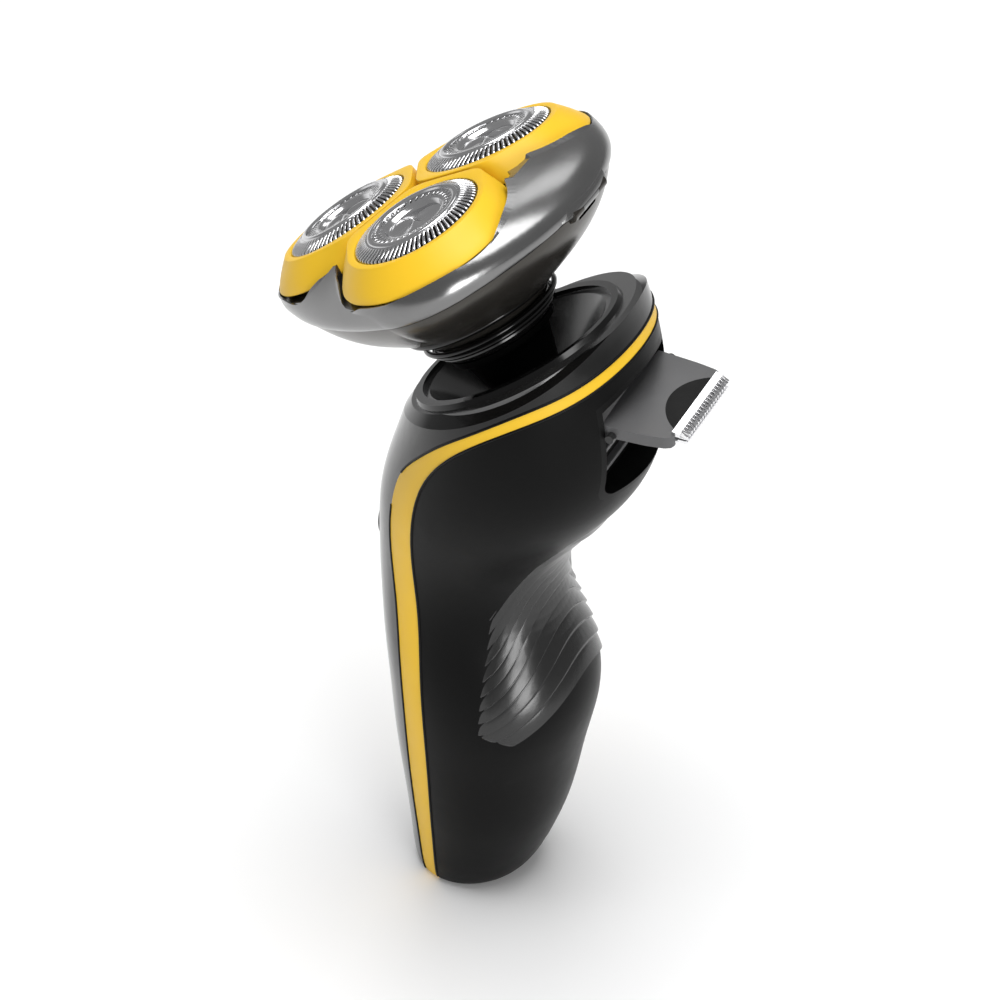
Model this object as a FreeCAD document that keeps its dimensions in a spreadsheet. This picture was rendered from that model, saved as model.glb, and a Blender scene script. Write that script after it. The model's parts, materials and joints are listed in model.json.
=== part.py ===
"""Three-head rotary shaver with a flip-out trimmer, in millimetres.

Frame: origin at the centre of the flat base, +Z up along the handle, -Y is the
front (thumb side), +X is the user's right.  The head has a frame of its own:
its Z runs along the neck, tilted forward, and its origin is the point where the
neck's axis meets the plane of the three shaving discs.
"""
import FreeCAD, Part
import Sketcher
import math
import os

Vector = FreeCAD.Vector
Rotation = FreeCAD.Rotation
Placement = FreeCAD.Placement
X_AXIS = Vector(1, 0, 0)
Y_AXIS = Vector(0, 1, 0)
Z_AXIS = Vector(0, 0, 1)

doc = FreeCAD.newDocument("rotary_shaver")

# --------------------------------------------------------------------------
# Driving sizes
# --------------------------------------------------------------------------

SIZES = [
    # the head's place on the handle
    ("head_tilt", 33.0, "forward tilt of the neck from vertical, degrees"),
    ("head_y", -10.8, "disc-plane centre, front to back"),
    ("head_z", 154.4, "disc-plane centre, height"),
    ("lobe_tilt", 5.2, "outward lean of each shaving disc, degrees"),
    ("lobe_reach", 17.0, "disc centre from the head's axis"),
    # shaving units, measured along each disc's own axis
    ("foil_radius", 12.3, "slotted foil, outside"),
    ("foil_wall", 0.5, "foil sheet with its rim"),
    ("foil_drop", 3.2, "depth of the foil's side wall"),
    ("slot_half", 0.225, "half the width of one hair slot"),
    ("slot_inner", 9.0, "inner end of a hair slot"),
    ("cutter_radius", 11.2, "tips of the cutter's blades"),
    ("petal_top", 0.8, "petal face below the foil's face"),
    ("petal_radius", 14.0, "petal outline at its face"),
    ("petal_foot_radius", 17.8, "petal outline at its lower edge"),
    ("petal_foot", 5.6, "petal's lower edge below the foil's face"),
    ("petal_wall", 1.4, "petal skin"),
    ("petal_gap", 0.45, "half of the gap between two petals"),
    # head shells, measured along the neck
    ("parting", 12.0, "parting line between the two head shells"),
    ("shell_wall", 1.8, "wall of the head shells"),
    ("unit_pocket_radius", 18.6, "pocket that one petal floats in"),
    ("unit_pocket_floor", 6.7, "pocket floor below the foil's face"),
    # gears
    ("gear_reach", 16.5, "driven gear from the head's axis"),
    ("gear_top", 13.6, "upper face of the gears"),
    ("gear_thick", 1.6, "width of the gears"),
    ("gear_module", 0.5, "tooth module"),
    # neck joint
    ("pivot_depth", 18.0, "centre of the ball joint below the discs"),
    ("ball_radius", 7.0, "ball on the post"),
    ("shell_sphere", 14.93, "underside of the head, about the joint's centre"),
    ("collar_sphere_in", 15.1, "upper side of the middle collar"),
    ("collar_sphere_out", 16.5, "lower side of the middle collar"),
    ("post_sphere", 16.7, "dish on top of the post's flange"),
    # handle
    ("wall", 2.0, "wall of the handle"),
    ("rim_depth", 34.9, "rim of the deck below the discs"),
    ("bowl_half_width", 18.0, "bowl opening, side to side"),
    ("bowl_half_length", 20.5, "bowl opening, front to back"),
    ("bowl_depth", 46.0, "bowl floor below the discs"),
    ("button_height", 80.0, "power button's centre above the base"),
    ("button_radius", 6.0, "power button"),
    # trimmer
    ("trimmer_pin_y", 34.0, "trimmer hinge, front to back"),
    ("trimmer_pin_z", 122.2, "trimmer hinge, height"),
    ("trimmer_top", 124.6, "upper face of the open trimmer"),
    ("trimmer_half_width", 12.8, "trimmer flap at its root, half"),
    ("trimmer_tip", 45.0, "end of the flap from the handle's centre"),
    ("bay_half_width", 14.2, "bay opening, half"),
    ("bay_bottom", 107.0, "lower edge of the bay"),
    ("bay_top", 131.0, "upper edge of the bay"),
    ("bay_floor", 30.4, "bay floor, front to back"),
]

# Handle skin: height, front, back and half width of each oval section.
SECTIONS = [
    (0.0, -11.0, 10.9, 11.8),
    (3.0, -11.4, 13.5, 13.4),
    (9.0, -11.8, 16.4, 15.0),
    (20.0, -12.6, 20.1, 17.4),
    (35.0, -14.2, 23.1, 19.6),
    (50.0, -15.3, 25.3, 21.0),
    (58.0, -16.0, 23.2, 20.6),
    (66.0, -16.5, 19.6, 19.6),
    (74.0, -16.8, 18.2, 19.2),
    (84.0, -16.7, 20.8, 20.5),
    (95.0, -15.8, 29.2, 23.2),
    (103.0, -13.7, 34.4, 24.7),
    (112.0, -10.8, 36.7, 25.3),
    (122.0, -8.4, 36.4, 24.9),
    (134.0, -6.4, 33.8, 23.8),
    (146.0, -4.8, 31.0, 22.6),
]

sheet = doc.addObject("Spreadsheet::Sheet", "Sizes")
VALUES = {}


def keep(alias, value, note):
    """Store one size in the sheet under its alias."""
    row = len(VALUES) + 1
    sheet.set(f"A{row}", note)
    sheet.set(f"B{row}", str(value))
    sheet.setAlias(f"B{row}", alias)
    VALUES[alias] = value


for alias, value, note in SIZES:
    keep(alias, value, note)
for index, section in enumerate(SECTIONS):
    for word, value in zip(("height", "front", "back", "half"), section):
        keep(f"section_{index}_{word}", value, f"handle section {index}, {word}")
doc.recompute()


def bound(text):
    """Value and sheet expression of a sum such as 'wall + 0.3'."""
    total = 0.0
    sign = 1
    words = []
    for word in text.split():
        if word in ("+", "-"):
            sign = -1 if word == "-" else 1
            words.append(word)
        elif word in VALUES:
            total += sign * VALUES[word]
            words.append(f"Sizes.{word}")
        else:
            total += sign * float(word)
            words.append(word)
    return total, " ".join(words)


def size(text):
    """Value alone of such a sum."""
    return bound(text)[0]


# --------------------------------------------------------------------------
# Frames
# --------------------------------------------------------------------------

HEAD = Placement(
    Vector(0, size("head_y"), size("head_z")), Rotation(X_AXIS, size("head_tilt"))
)
LOBES = {"back_right": 30, "back_left": 150, "front": 270}


def turned_about_neck(angle):
    """Head frame turned about the neck so that its X points to a lobe."""
    return HEAD.multiply(Placement(Vector(), Rotation(Z_AXIS, angle)))


def disc_frame(angle):
    """Frame of one shaving disc: origin at its face, Z out of it."""
    lean = Placement(Vector(size("lobe_reach"), 0, 0), Rotation(Y_AXIS, size("lobe_tilt")))
    return turned_about_neck(angle).multiply(lean)


# --------------------------------------------------------------------------
# Helpers: primitives, booleans, turned and padded bodies
# --------------------------------------------------------------------------

NODES = {}


def node(label, obj, place=None):
    """Register an object as a sub-part under its own label."""
    if place is not None:
        obj.Placement = place
    obj.Label = label
    NODES[label] = obj
    return obj


def primitive(kind, name, base=(0, 0, 0), turn=None, **sizes):
    """A Part primitive whose properties are bound to the sheet."""
    obj = doc.addObject(f"Part::{kind}", name)
    for prop, text in sizes.items():
        value, expression = bound(text)
        setattr(obj, prop, value)
        if "Sizes" in expression:
            obj.setExpression(prop, expression)
    obj.Placement = Placement(Vector(*base), turn or Rotation())
    return obj


def cylinder(name, radius, height, base=(0, 0, 0), turn=None):
    return primitive("Cylinder", name, base, turn, Radius=radius, Height=height)


def box(name, x, y, z):
    """A box from three (low, high) pairs."""
    return primitive(
        "Box", name, (x[0], y[0], z[0]),
        Length=str(x[1] - x[0]), Width=str(y[1] - y[0]), Height=str(z[1] - z[0]),
    )


def cut(name, base, *tools):
    tool = tools[0] if len(tools) == 1 else fuse(f"{name}_tools", *tools)
    obj = doc.addObject("Part::Cut", name)
    obj.Base = base
    obj.Tool = tool
    return obj


def fuse(name, *shapes):
    obj = doc.addObject("Part::MultiFuse", name)
    obj.Shapes = list(shapes)
    return obj


def common(name, *shapes):
    obj = doc.addObject("Part::MultiCommon", name)
    obj.Shapes = list(shapes)
    return obj


def feature(name, shape):
    obj = doc.addObject("Part::Feature", name)
    obj.Shape = shape
    return obj


def loft(name, sections, smooth=True):
    obj = doc.addObject("Part::Loft", name)
    obj.Sections = sections
    obj.Solid = True
    obj.Ruled = not smooth
    return obj


def oval(name, half_x, half_y, centre_y, height):
    """An ellipse across the Z axis, its long axis along X or Y."""
    obj = doc.addObject("Part::Ellipse", name)
    wide = size(half_x) >= size(half_y)
    major, minor = (half_x, half_y) if wide else (half_y, half_x)
    for prop, text in (("MajorRadius", major), ("MinorRadius", minor)):
        value, expression = bound(text)
        setattr(obj, prop, value)
        obj.setExpression(prop, expression)
    spin = Rotation() if wide else Rotation(Z_AXIS, 90)
    obj.Placement = Placement(Vector(0, centre_y, height), spin)
    return obj


def plane_of(body, role):
    for origin_feature in body.Origin.OriginFeatures:
        if origin_feature.Role == role:
            return origin_feature
    raise ValueError(role)


def sketch_on(body, name, role, points):
    """Closed outline of straight lines, every corner bound to the sheet."""
    sketch = body.newObject("Sketcher::SketchObject", name)
    sketch.AttachmentSupport = (plane_of(body, role), [""])
    sketch.MapMode = "FlatFace"
    corners = [(bound(across), bound(along)) for across, along in points]
    count = len(corners)
    for i in range(count):
        (x0, _), (y0, _) = corners[i]
        (x1, _), (y1, _) = corners[(i + 1) % count]
        sketch.addGeometry(Part.LineSegment(Vector(x0, y0, 0), Vector(x1, y1, 0)), False)
    for i in range(count):
        sketch.addConstraint(Sketcher.Constraint("Coincident", i, 2, (i + 1) % count, 1))
        for kind, (value, expression) in zip(("DistanceX", "DistanceY"), corners[i]):
            mark = sketch.addConstraint(Sketcher.Constraint(kind, -1, 1, i, 1, value))
            if "Sizes" in expression:
                sketch.setExpression(f"Constraints[{mark}]", expression)
    return sketch


def turned(label, points, place=None):
    """A lathe-turned body: its half section is given as (radius, height)."""
    body = doc.addObject("PartDesign::Body", f"{label}_body")
    sketch = sketch_on(body, f"{label}_section", "XZ_Plane", points)
    turn = body.newObject("PartDesign::Revolution", f"{label}_turn")
    turn.Profile = sketch
    turn.ReferenceAxis = (sketch, ["V_Axis"])
    turn.Angle = 360
    body.Tip = turn
    if place is not None:
        body.Placement = place
    return body


def padded(label, role, points, length, place=None, both=False):
    """A flat outline padded to a length."""
    body = doc.addObject("PartDesign::Body", f"{label}_body")
    sketch = sketch_on(body, f"{label}_outline", role, points)
    pad = body.newObject("PartDesign::Pad", f"{label}_pad")
    pad.Profile = sketch
    value, expression = bound(length)
    pad.Length = value
    if "Sizes" in expression:
        pad.setExpression("Length", expression)
    pad.Midplane = both
    body.Tip = pad
    if place is not None:
        body.Placement = place
    return body


# --------------------------------------------------------------------------
# Handle skin and the regions that split it
# --------------------------------------------------------------------------

def skin(name, inset):
    """Smooth solid through the handle's oval sections, drawn in by an inset."""
    ovals = []
    for i, (height, front, back, half) in enumerate(SECTIONS):
        obj = doc.addObject("Part::Ellipse", f"{name}_oval_{i}")
        row = f"Sizes.section_{i}_"
        obj.MajorRadius = half - size(inset)
        obj.MinorRadius = (back - front) / 2 - size(inset)
        drawn_in = bound(inset)[1]
        obj.setExpression("MajorRadius", f"{row}half - ({drawn_in})")
        obj.setExpression("MinorRadius", f"({row}back - {row}front) / 2 - ({drawn_in})")
        obj.Placement = Placement(Vector(0, (front + back) / 2, height), Rotation())
        obj.setExpression(".Placement.Base.y", f"({row}back + {row}front) / 2")
        obj.setExpression(".Placement.Base.z", f"{row}height")
        ovals.append(obj)
    return loft(name, ovals)


# Side view (front to back, height) of the accent stripe's two edges.
STRIPE_FRONT = [
    (-5.0, -6.0), (-5.8, 21.0), (-6.2, 50.0), (-7.9, 78.0), (-7.8, 96.0), (-5.6, 104.5),
    (-0.8, 111.4), (5.3, 118.0), (12.0, 123.6), (22.5, 130.4), (30.0, 134.0), (36.0, 137.6),
    (46.0, 144.0),
]
STRIPE_REAR = [
    (-2.2, -6.0), (-1.4, 10.0), (-0.4, 41.0), (-1.9, 74.0), (-1.6, 96.0), (0.6, 105.5),
    (6.5, 115.2), (13.0, 121.4), (22.0, 127.2), (31.0, 131.6), (36.0, 134.6),
    (46.0, 141.0),
]
SIDE_REACH = 60.0


def side_region(name, edge, corners):
    """Solid across the whole width, bounded by one stripe edge."""
    curve = Part.BSplineCurve()
    curve.interpolate([Vector(-SIDE_REACH, y, z) for y, z in edge])
    points = [Vector(-SIDE_REACH, y, z) for y, z in [edge[-1], *corners, edge[0]]]
    straight = [Part.LineSegment(a, b).toShape() for a, b in zip(points, points[1:])]
    wire = Part.Wire([curve.toShape(), *straight])
    face = Part.Face(wire)
    return feature(name, face.extrude(Vector(2 * SIDE_REACH, 0, 0)))


AHEAD = [(46.0, 190.0), (-60.0, 190.0), (-60.0, -6.0)]
ahead_of_stripe = side_region("ahead_of_stripe", STRIPE_FRONT, AHEAD)
ahead_of_casing = side_region("ahead_of_casing", STRIPE_REAR, AHEAD)


def head_oval(name, half_x, half_y, centre_y, depth):
    """An oval across the neck, placed in the head's frame."""
    obj = oval(name, half_x, half_y, centre_y, -size(depth))
    obj.Placement = HEAD.multiply(obj.Placement)
    return obj


def shoulder_cap(name, depth):
    """Everything below the sloping shoulder that the deck's rim stands on."""
    top = head_oval(f"{name}_top", "bowl_half_width + 3.2", "bowl_half_length + 4.2", 3.5, depth)
    foot_width = "bowl_half_width + 273.2"
    foot_length = "bowl_half_length + 274.2"
    foot = head_oval(f"{name}_foot", foot_width, foot_length, 3.5, f"{depth} + 150")
    skirt = loft(name, [foot, top])
    return skirt


outer_skin = skin("outer_skin", "0")
inner_skin = skin("inner_skin", "wall")
below_rim = shoulder_cap("below_rim", "rim_depth")
handle_outer = common("handle_outer", outer_skin, below_rim)
handle_hollow = cut("handle_hollow", handle_outer, inner_skin)

# --------------------------------------------------------------------------
# Handle covers
# --------------------------------------------------------------------------

button_bore = cylinder(
    "button_bore", "button_radius + 0.3", "12",
    (0, -22, size("button_height")), Rotation(X_AXIS, -90),
)
LENS_HEIGHT = 46.0
lens_bore = cylinder("lens_bore", "1.5", "8", (0, -20, LENS_HEIGHT), Rotation(X_AXIS, -90))
front_half = common("front_half", handle_hollow, ahead_of_stripe)
node("front_cover", cut("front_cover_cut", front_half, button_bore, lens_bore))

stripe_zone = cut("stripe_zone", ahead_of_casing, ahead_of_stripe)
node("accent_stripe", common("accent_stripe_band", handle_hollow, stripe_zone))

BAY_CORNER = 3.0


def bay_outline(inset):
    """Bay opening seen from behind: flat foot, arched top."""
    half = size("bay_half_width") - inset
    low = size("bay_bottom") + inset
    shoulder = size("bay_top") - 3.0 - inset
    top = size("bay_top") - inset
    corner = BAY_CORNER
    p = [
        Vector(half, 0, shoulder), Vector(0, 0, top), Vector(-half, 0, shoulder),
        Vector(-half, 0, low + corner), Vector(-half + corner, 0, low),
        Vector(half - corner, 0, low), Vector(half, 0, low + corner),
    ]
    quarter = corner * (1 - math.sqrt(0.5))
    left = Vector(-half + quarter, 0, low + quarter)
    right = Vector(half - quarter, 0, low + quarter)
    edges = [
        Part.Arc(p[0], p[1], p[2]).toShape(),
        Part.LineSegment(p[2], p[3]).toShape(),
        Part.Arc(p[3], left, p[4]).toShape(),
        Part.LineSegment(p[4], p[5]).toShape(),
        Part.Arc(p[5], right, p[6]).toShape(),
        Part.LineSegment(p[6], p[0]).toShape(),
    ]
    return Part.Face(Part.Wire(edges))


def bay_prism(name, inset, start):
    """Bay outline pushed out through the back of the handle."""
    face = bay_outline(inset)
    face.translate(Vector(0, start, 0))
    return feature(name, face.extrude(Vector(0, 60 - start, 0)))


BAY_WALL = 1.0
bay_block = bay_prism("bay_block", 0.0, size("bay_floor") - 1.2)
bay_room = bay_prism("bay_room", BAY_WALL, size("bay_floor"))
rear_half = cut("rear_half", handle_hollow, ahead_of_casing)
node("rear_casing", cut("rear_casing_cut", rear_half, bay_block))
bay_skinned = common("bay_skinned", bay_block, outer_skin)
pin_seat = cylinder(
    "pin_seat", "0.85", "40",
    (-20, size("trimmer_pin_y"), size("trimmer_pin_z")), Rotation(Y_AXIS, 90),
)
node("trimmer_bay", cut("trimmer_bay_cut", bay_skinned, bay_room, pin_seat))

# Base cap: a plug inside the foot of the covers, with the charging socket's hole.
foot_slab = box("foot_slab", (-30, 30), (-30, 30), (0, 3))
foot_plug = common("foot_plug", inner_skin, foot_slab)
SOCKET_Y = 0.0
socket_hole = cylinder("socket_hole", "4", "10", (0, SOCKET_Y, -1))
screw_holes = []
for i, x in enumerate((-7, 7)):
    screw_holes.append(cylinder(f"base_hole_{i}", "1.1", "10", (x, 0, -1)))
    screw_holes.append(cylinder(f"base_sink_{i}", "2.1", "2.3", (x, 0, -1)))
node("base_cap", cut("base_cap_cut", foot_plug, socket_hole, *screw_holes))
node(
    "charge_socket",
    turned("charge_socket", [
        ("2.75", "0"), ("4", "0"), ("4", "9.5"), ("0.6", "9.5"), ("0.6", "8.3"), ("2.75", "8.3"),
    ], Placement(Vector(0, SOCKET_Y, 0), Rotation())),
)
node(
    "charge_pin",
    turned("charge_pin", [("0", "1.5"), ("0.6", "2.1"), ("0.6", "11"), ("0", "11")],
           Placement(Vector(0, SOCKET_Y, 0), Rotation())),
)


def screw(name, place, head="1.9", shank="1.05", length="6"):
    """Pan-head screw, head at the origin, shank along -Z."""
    return turned(name, [
        ("0", f"- {length}"), (shank, f"- {length} + 0.8"), (shank, "0"), (head, "0"),
        (head, "0.7"), (f"{head} - 0.5", "1.2"), ("0", "1.2"),
    ], place)


# --------------------------------------------------------------------------
# Deck, bowl and neck post
# --------------------------------------------------------------------------

BOWL_CENTRE = 1.8
deck_slab = primitive("Box", "deck_slab", Length="100", Width="100", Height="2")
deck_slab.Placement = HEAD.multiply(
    Placement(Vector(-50, -50, -size("rim_depth") - 2), Rotation())
)
deck_plate = common("deck_plate", deck_slab, inner_skin)
bowl_top_in = head_oval("bowl_top_in", "bowl_half_width", "bowl_half_length", BOWL_CENTRE, "rim_depth - 2")
bowl_foot_in = head_oval("bowl_foot_in", "9.6", "9.5", 0.0, "bowl_depth")
bowl_top_out = head_oval(
    "bowl_top_out", "bowl_half_width + 2.2", "bowl_half_length + 0.5", BOWL_CENTRE, "rim_depth"
)
bowl_foot_out = head_oval("bowl_foot_out", "11.6", "11.5", 0.0, "bowl_depth + 1.8")
bowl_inside = loft("bowl_inside", [bowl_foot_in, bowl_top_in])
bowl_outside = loft("bowl_outside", [bowl_foot_out, bowl_top_out])
shaft_way = cylinder("shaft_way", "4.2", "30")
shaft_way.Placement = HEAD.multiply(Placement(Vector(0, 0, -60), Rotation()))
deck_solid = fuse("deck_solid", deck_plate, bowl_outside)
node("deck_bowl", cut("deck_bowl_cut", deck_solid, bowl_inside, shaft_way))

# Raised trim ring round the bowl's mouth.
ring_foot = head_oval(
    "ring_foot", "bowl_half_width + 1.9", "bowl_half_length + 1.5", BOWL_CENTRE, "rim_depth"
)
ring_crest = head_oval(
    "ring_crest", "bowl_half_width + 1.4", "bowl_half_length + 1", BOWL_CENTRE, "rim_depth - 0.9"
)
eye_foot = head_oval(
    "eye_foot", "bowl_half_width - 0.6", "bowl_half_length - 0.6", BOWL_CENTRE, "rim_depth + 1"
)
eye_crest = head_oval(
    "eye_crest", "bowl_half_width - 0.2", "bowl_half_length - 0.2", BOWL_CENTRE, "rim_depth - 2"
)
ring_blank = loft("ring_blank", [ring_foot, ring_crest])
ring_eye = loft("ring_eye", [eye_foot, eye_crest])
node("deck_ring", cut("deck_ring_cut", ring_blank, ring_eye))


def sphere_zone(name, radius_text):
    """Ball about the neck joint's centre, used to cut a running surface."""
    ball = primitive("Sphere", name, Radius=radius_text)
    ball.Placement = Placement(Vector(0, 0, -size("pivot_depth")), Rotation())
    return ball


# Neck post: flange with a dished top, tapered post, and the ball on its stem.
post_blank = turned("post_blank", [
    ("0", "- bowl_depth"), ("7.4", "- bowl_depth"), ("6.4", "- 42"), ("8.7", "- 33.2"),
    ("9.0", "- 32.4"), ("10.4", "- 32"), ("10.9", "- 30.2"), ("0", "- 30.2"),
])
post_dish = sphere_zone("post_dish", "post_sphere")
post_flange = cut("post_flange", post_blank, post_dish)
post_stem = cylinder("post_stem", "4.9", "17", (0, 0, -36))
post_ball = sphere_zone("post_ball", "ball_radius")
post_body = fuse("post_body", post_flange, post_stem, post_ball)
post_bore = cylinder("post_bore", "3.9", "60", (0, 0, -60))
ball_flat = cylinder("ball_flat", "12", "12", (0, 0, -size("pivot_depth") + 1.6))
node("neck_post", cut("neck_post_cut", post_body, post_bore, ball_flat), HEAD)

# Middle collar: bowl-shaped ring that floats between two spheres.
collar_blank = turned("collar_blank", [
    ("7.7", "- 36"), ("11.9", "- 36"), ("11.9", "- 26"), ("7.7", "- 26"),
])
collar_shell = common("collar_shell", collar_blank, sphere_zone("collar_out", "collar_sphere_out"))
node(
    "middle_collar",
    cut("middle_collar_cut", collar_shell, sphere_zone("collar_in", "collar_sphere_in")),
    HEAD,
)

# --------------------------------------------------------------------------
# Head shells
# --------------------------------------------------------------------------

FULL_SPREAD = math.radians(52)
BACK_SPREAD = math.radians(16)
CORNER_SPREADS = {
    "back_right": (FULL_SPREAD, BACK_SPREAD),
    "back_left": (BACK_SPREAD, FULL_SPREAD),
    "front": (FULL_SPREAD, FULL_SPREAD),
}


def rounded_triangle(corner_reach, side_reach, back_reach, corner_radius, height):
    """Three-lobed outline: arcs at the lobes, bowed sides, the back side fullest."""
    centre = corner_reach - corner_radius
    arcs = []
    for lobe, angle in LOBES.items():
        a = math.radians(angle)
        before, after = CORNER_SPREADS[lobe]
        middle = Vector(centre * math.cos(a), centre * math.sin(a), height)
        arcs.append([
            middle + Vector(corner_radius * math.cos(a + s), corner_radius * math.sin(a + s), 0)
            for s in (-before, 0, after)
        ])
    edges = []
    for i, (lobe, angle) in enumerate(LOBES.items()):
        following = arcs[(i + 1) % 3]
        b = math.radians(angle + 60)
        reach = back_reach if lobe == "back_right" else side_reach
        side = Vector(reach * math.cos(b), reach * math.sin(b), height)
        edges.append(Part.Arc(*arcs[i]).toShape())
        edges.append(Part.Arc(arcs[i][2], side, following[0]).toShape())
    return Part.Wire(edges)


def shell_solid(name, sections):
    """Smooth solid through three-lobed outlines (lobe, side, back, corner, depth)."""
    wires = [rounded_triangle(lobe, side, back, corner, -depth)
             for lobe, side, back, corner, depth in sections]
    return feature(name, Part.makeLoft(wires, True))


UPPER = [
    (34.6, 27.0, 32.7, 15.5, 12.0),
    (35.8, 27.8, 33.4, 16.5, 9.6),
    (35.4, 26.4, 31.8, 17.0, 7.2),
    (33.5, 23.6, 28.0, 16.5, 4.6),
    (29.5, 20.6, 23.5, 14.0, 2.6),
]
LOWER = [
    (34.3, 26.7, 32.4, 15.3, 12.2),
    (31.8, 25.4, 30.5, 14.0, 15.0),
    (27.4, 23.0, 27.3, 13.0, 18.0),
    (21.6, 19.4, 22.3, 12.6, 21.0),
    (15.6, 15.4, 16.3, 12.8, 24.0),
]


def drawn_in(sections, inset, floor_rise=0.0):
    """The same outlines, one wall thickness smaller."""
    return [(lobe - inset, side - inset, back - inset, corner - inset, depth - floor_rise)
            for lobe, side, back, corner, depth in sections]


def in_each_lobe(name, make):
    """One tool for every lobe, placed by its maker."""
    return [make(f"{name}_{lobe}", angle) for lobe, angle in LOBES.items()]


def local_disc_frame(angle):
    """Disc frame seen from the head's own frame."""
    return HEAD.inverse().multiply(disc_frame(angle))


def unit_pocket(name, angle):
    pocket = cylinder(name, "unit_pocket_radius", "20")
    sink = Placement(Vector(0, 0, -size("unit_pocket_floor")), Rotation())
    pocket.Placement = local_disc_frame(angle).multiply(sink)
    return pocket


def spindle_hole(name, angle):
    hole = cylinder(name, "4.4", "20")
    along = Placement(Vector(size("gear_reach"), 0, -20), Rotation())
    hole.Placement = Placement(Vector(), Rotation(Z_AXIS, angle)).multiply(along)
    return hole


HINGE_Y = 32.0
HINGE_RADIUS = 1.2
HINGE_BORE = 0.55
KNUCKLE_HALF = 3.2
SIDE_KNUCKLE = 3.0
SIDE_START = KNUCKLE_HALF + 0.2
upper_solid = shell_solid("upper_solid", UPPER)
upper_room = shell_solid("upper_room", [
    (32.8, 25.2, 30.9, 13.7, 12.5), (33.6, 25.6, 31.2, 14.4, 9.9),
])
upper_pockets = in_each_lobe("unit_pocket", unit_pocket)
upper_holes = in_each_lobe("spindle_hole", spindle_hole)
side_rooms = [
    box(f"side_room_{i}", (x, x + SIDE_KNUCKLE + 0.4), (HINGE_Y - 1.7, HINGE_Y + 3.4), (-14.0, -10.5))
    for i, x in enumerate((-SIDE_START - SIDE_KNUCKLE - 0.2, SIDE_START - 0.2))
]
upper_cut = cut("upper_cut", upper_solid, upper_room, *upper_pockets, *upper_holes, *side_rooms)
across = Rotation(Y_AXIS, 90)
knuckle_mid = cylinder(
    "knuckle_mid", str(HINGE_RADIUS), str(2 * KNUCKLE_HALF),
    (-KNUCKLE_HALF, HINGE_Y, -size("parting")), across
)
knuckle_web = box(
    "knuckle_web", (-KNUCKLE_HALF, KNUCKLE_HALF), (HINGE_Y - 2.2, HINGE_Y), (-11.9, -10.9)
)
pin_bore = cylinder("pin_bore", str(HINGE_BORE), "24", (-12, HINGE_Y, -size("parting")), across)
upper_all = fuse("upper_all", upper_cut, knuckle_mid, knuckle_web)
node("upper_shell", cut("upper_shell_cut", upper_all, pin_bore), HEAD)

lower_solid = shell_solid("lower_solid", LOWER)
lower_room = shell_solid("lower_room", drawn_in(LOWER, size("shell_wall"), 1.2))
lower_nose = turned("lower_nose", [
    ("10.4", "- 29"), ("12.2", "- 29"), ("12.2", "- 26.6"), ("15.4", "- 24"), ("10.4", "- 24"),
])
nose_ball = sphere_zone("nose_ball", "shell_sphere")
nose_part = common("nose_part", lower_nose, nose_ball)
lower_mouth = cylinder("lower_mouth", "10.4", "12", (0, 0, -30))
lower_cup = cut("lower_cup", lower_solid, lower_room, lower_mouth)
knuckle_room = box(
    "knuckle_room", (-SIDE_START, SIDE_START), (HINGE_Y - 2.6, HINGE_Y + 2.4), (-14.2, -10.0)
)
side_knuckles = []
side_webs = []
for i, x in enumerate((-SIDE_START - SIDE_KNUCKLE, SIDE_START)):
    side_knuckles.append(cylinder(
        f"side_knuckle_{i}", str(HINGE_RADIUS), str(SIDE_KNUCKLE),
        (x, HINGE_Y, -size("parting")), across
    ))
    side_webs.append(box(
        f"side_web_{i}", (x, x + SIDE_KNUCKLE), (HINGE_Y - 2.4, HINGE_Y), (-13.2, -12.3)
    ))
lower_trim = cut("lower_trim", lower_cup, knuckle_room)
lower_all = fuse("lower_all", lower_trim, nose_part, *side_knuckles, *side_webs)
RELEASE_Z = -15.0
release_way = box("release_way", (-5.2, 5.2), (-40, -20), (RELEASE_Z - 1.7, RELEASE_Z + 1.7))
pin_bore_low = cylinder(
    "pin_bore_low", str(HINGE_BORE), "24", (-12, HINGE_Y, -size("parting")), across
)
node("lower_shell", cut("lower_shell_cut", lower_all, pin_bore_low, release_way), HEAD)
pin_length = 2 * (SIDE_START + SIDE_KNUCKLE)
hinge_pin = cylinder("head_hinge_pin_rod", str(HINGE_BORE - 0.05), str(pin_length))
pin_place = Placement(Vector(-pin_length / 2, HINGE_Y, -size("parting")), across)
node("head_hinge_pin", hinge_pin, HEAD.multiply(pin_place))

# --------------------------------------------------------------------------
# Gears, spindles and the ball cup inside the head
# --------------------------------------------------------------------------

PRESSURE_ANGLE = math.radians(20)
BACKLASH = 0.07


def involute(angle):
    return math.tan(angle) - angle


def gear_face(teeth, first_tooth_angle):
    """Flat involute gear outline, with a tooth centred on the given angle."""
    module = size("gear_module")
    pitch = module * teeth / 2
    base = pitch * math.cos(PRESSURE_ANGLE)
    tip = pitch + module * 0.95
    root = pitch - module * 1.2
    half = math.pi / (2 * teeth) - BACKLASH / (2 * pitch)
    half += involute(PRESSURE_ANGLE)
    flank = []
    low = max(root, base)
    for i in range(4):
        radius = low + (tip - low) * i / 3
        lean = math.acos(min(1.0, base / radius))
        flank.append((radius, half - involute(lean)))
    if root < base:
        flank.insert(0, (root, flank[0][1]))
    points = []
    for tooth in range(teeth):
        middle = first_tooth_angle + 2 * math.pi * tooth / teeth
        for radius, turn in flank:
            points.append((radius, middle - turn))
        for radius, turn in reversed(flank):
            points.append((radius, middle + turn))
    corners = [Vector(r * math.cos(a), r * math.sin(a), 0) for r, a in points]
    return Part.Face(Part.makePolygon(corners + corners[:1]))


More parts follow.
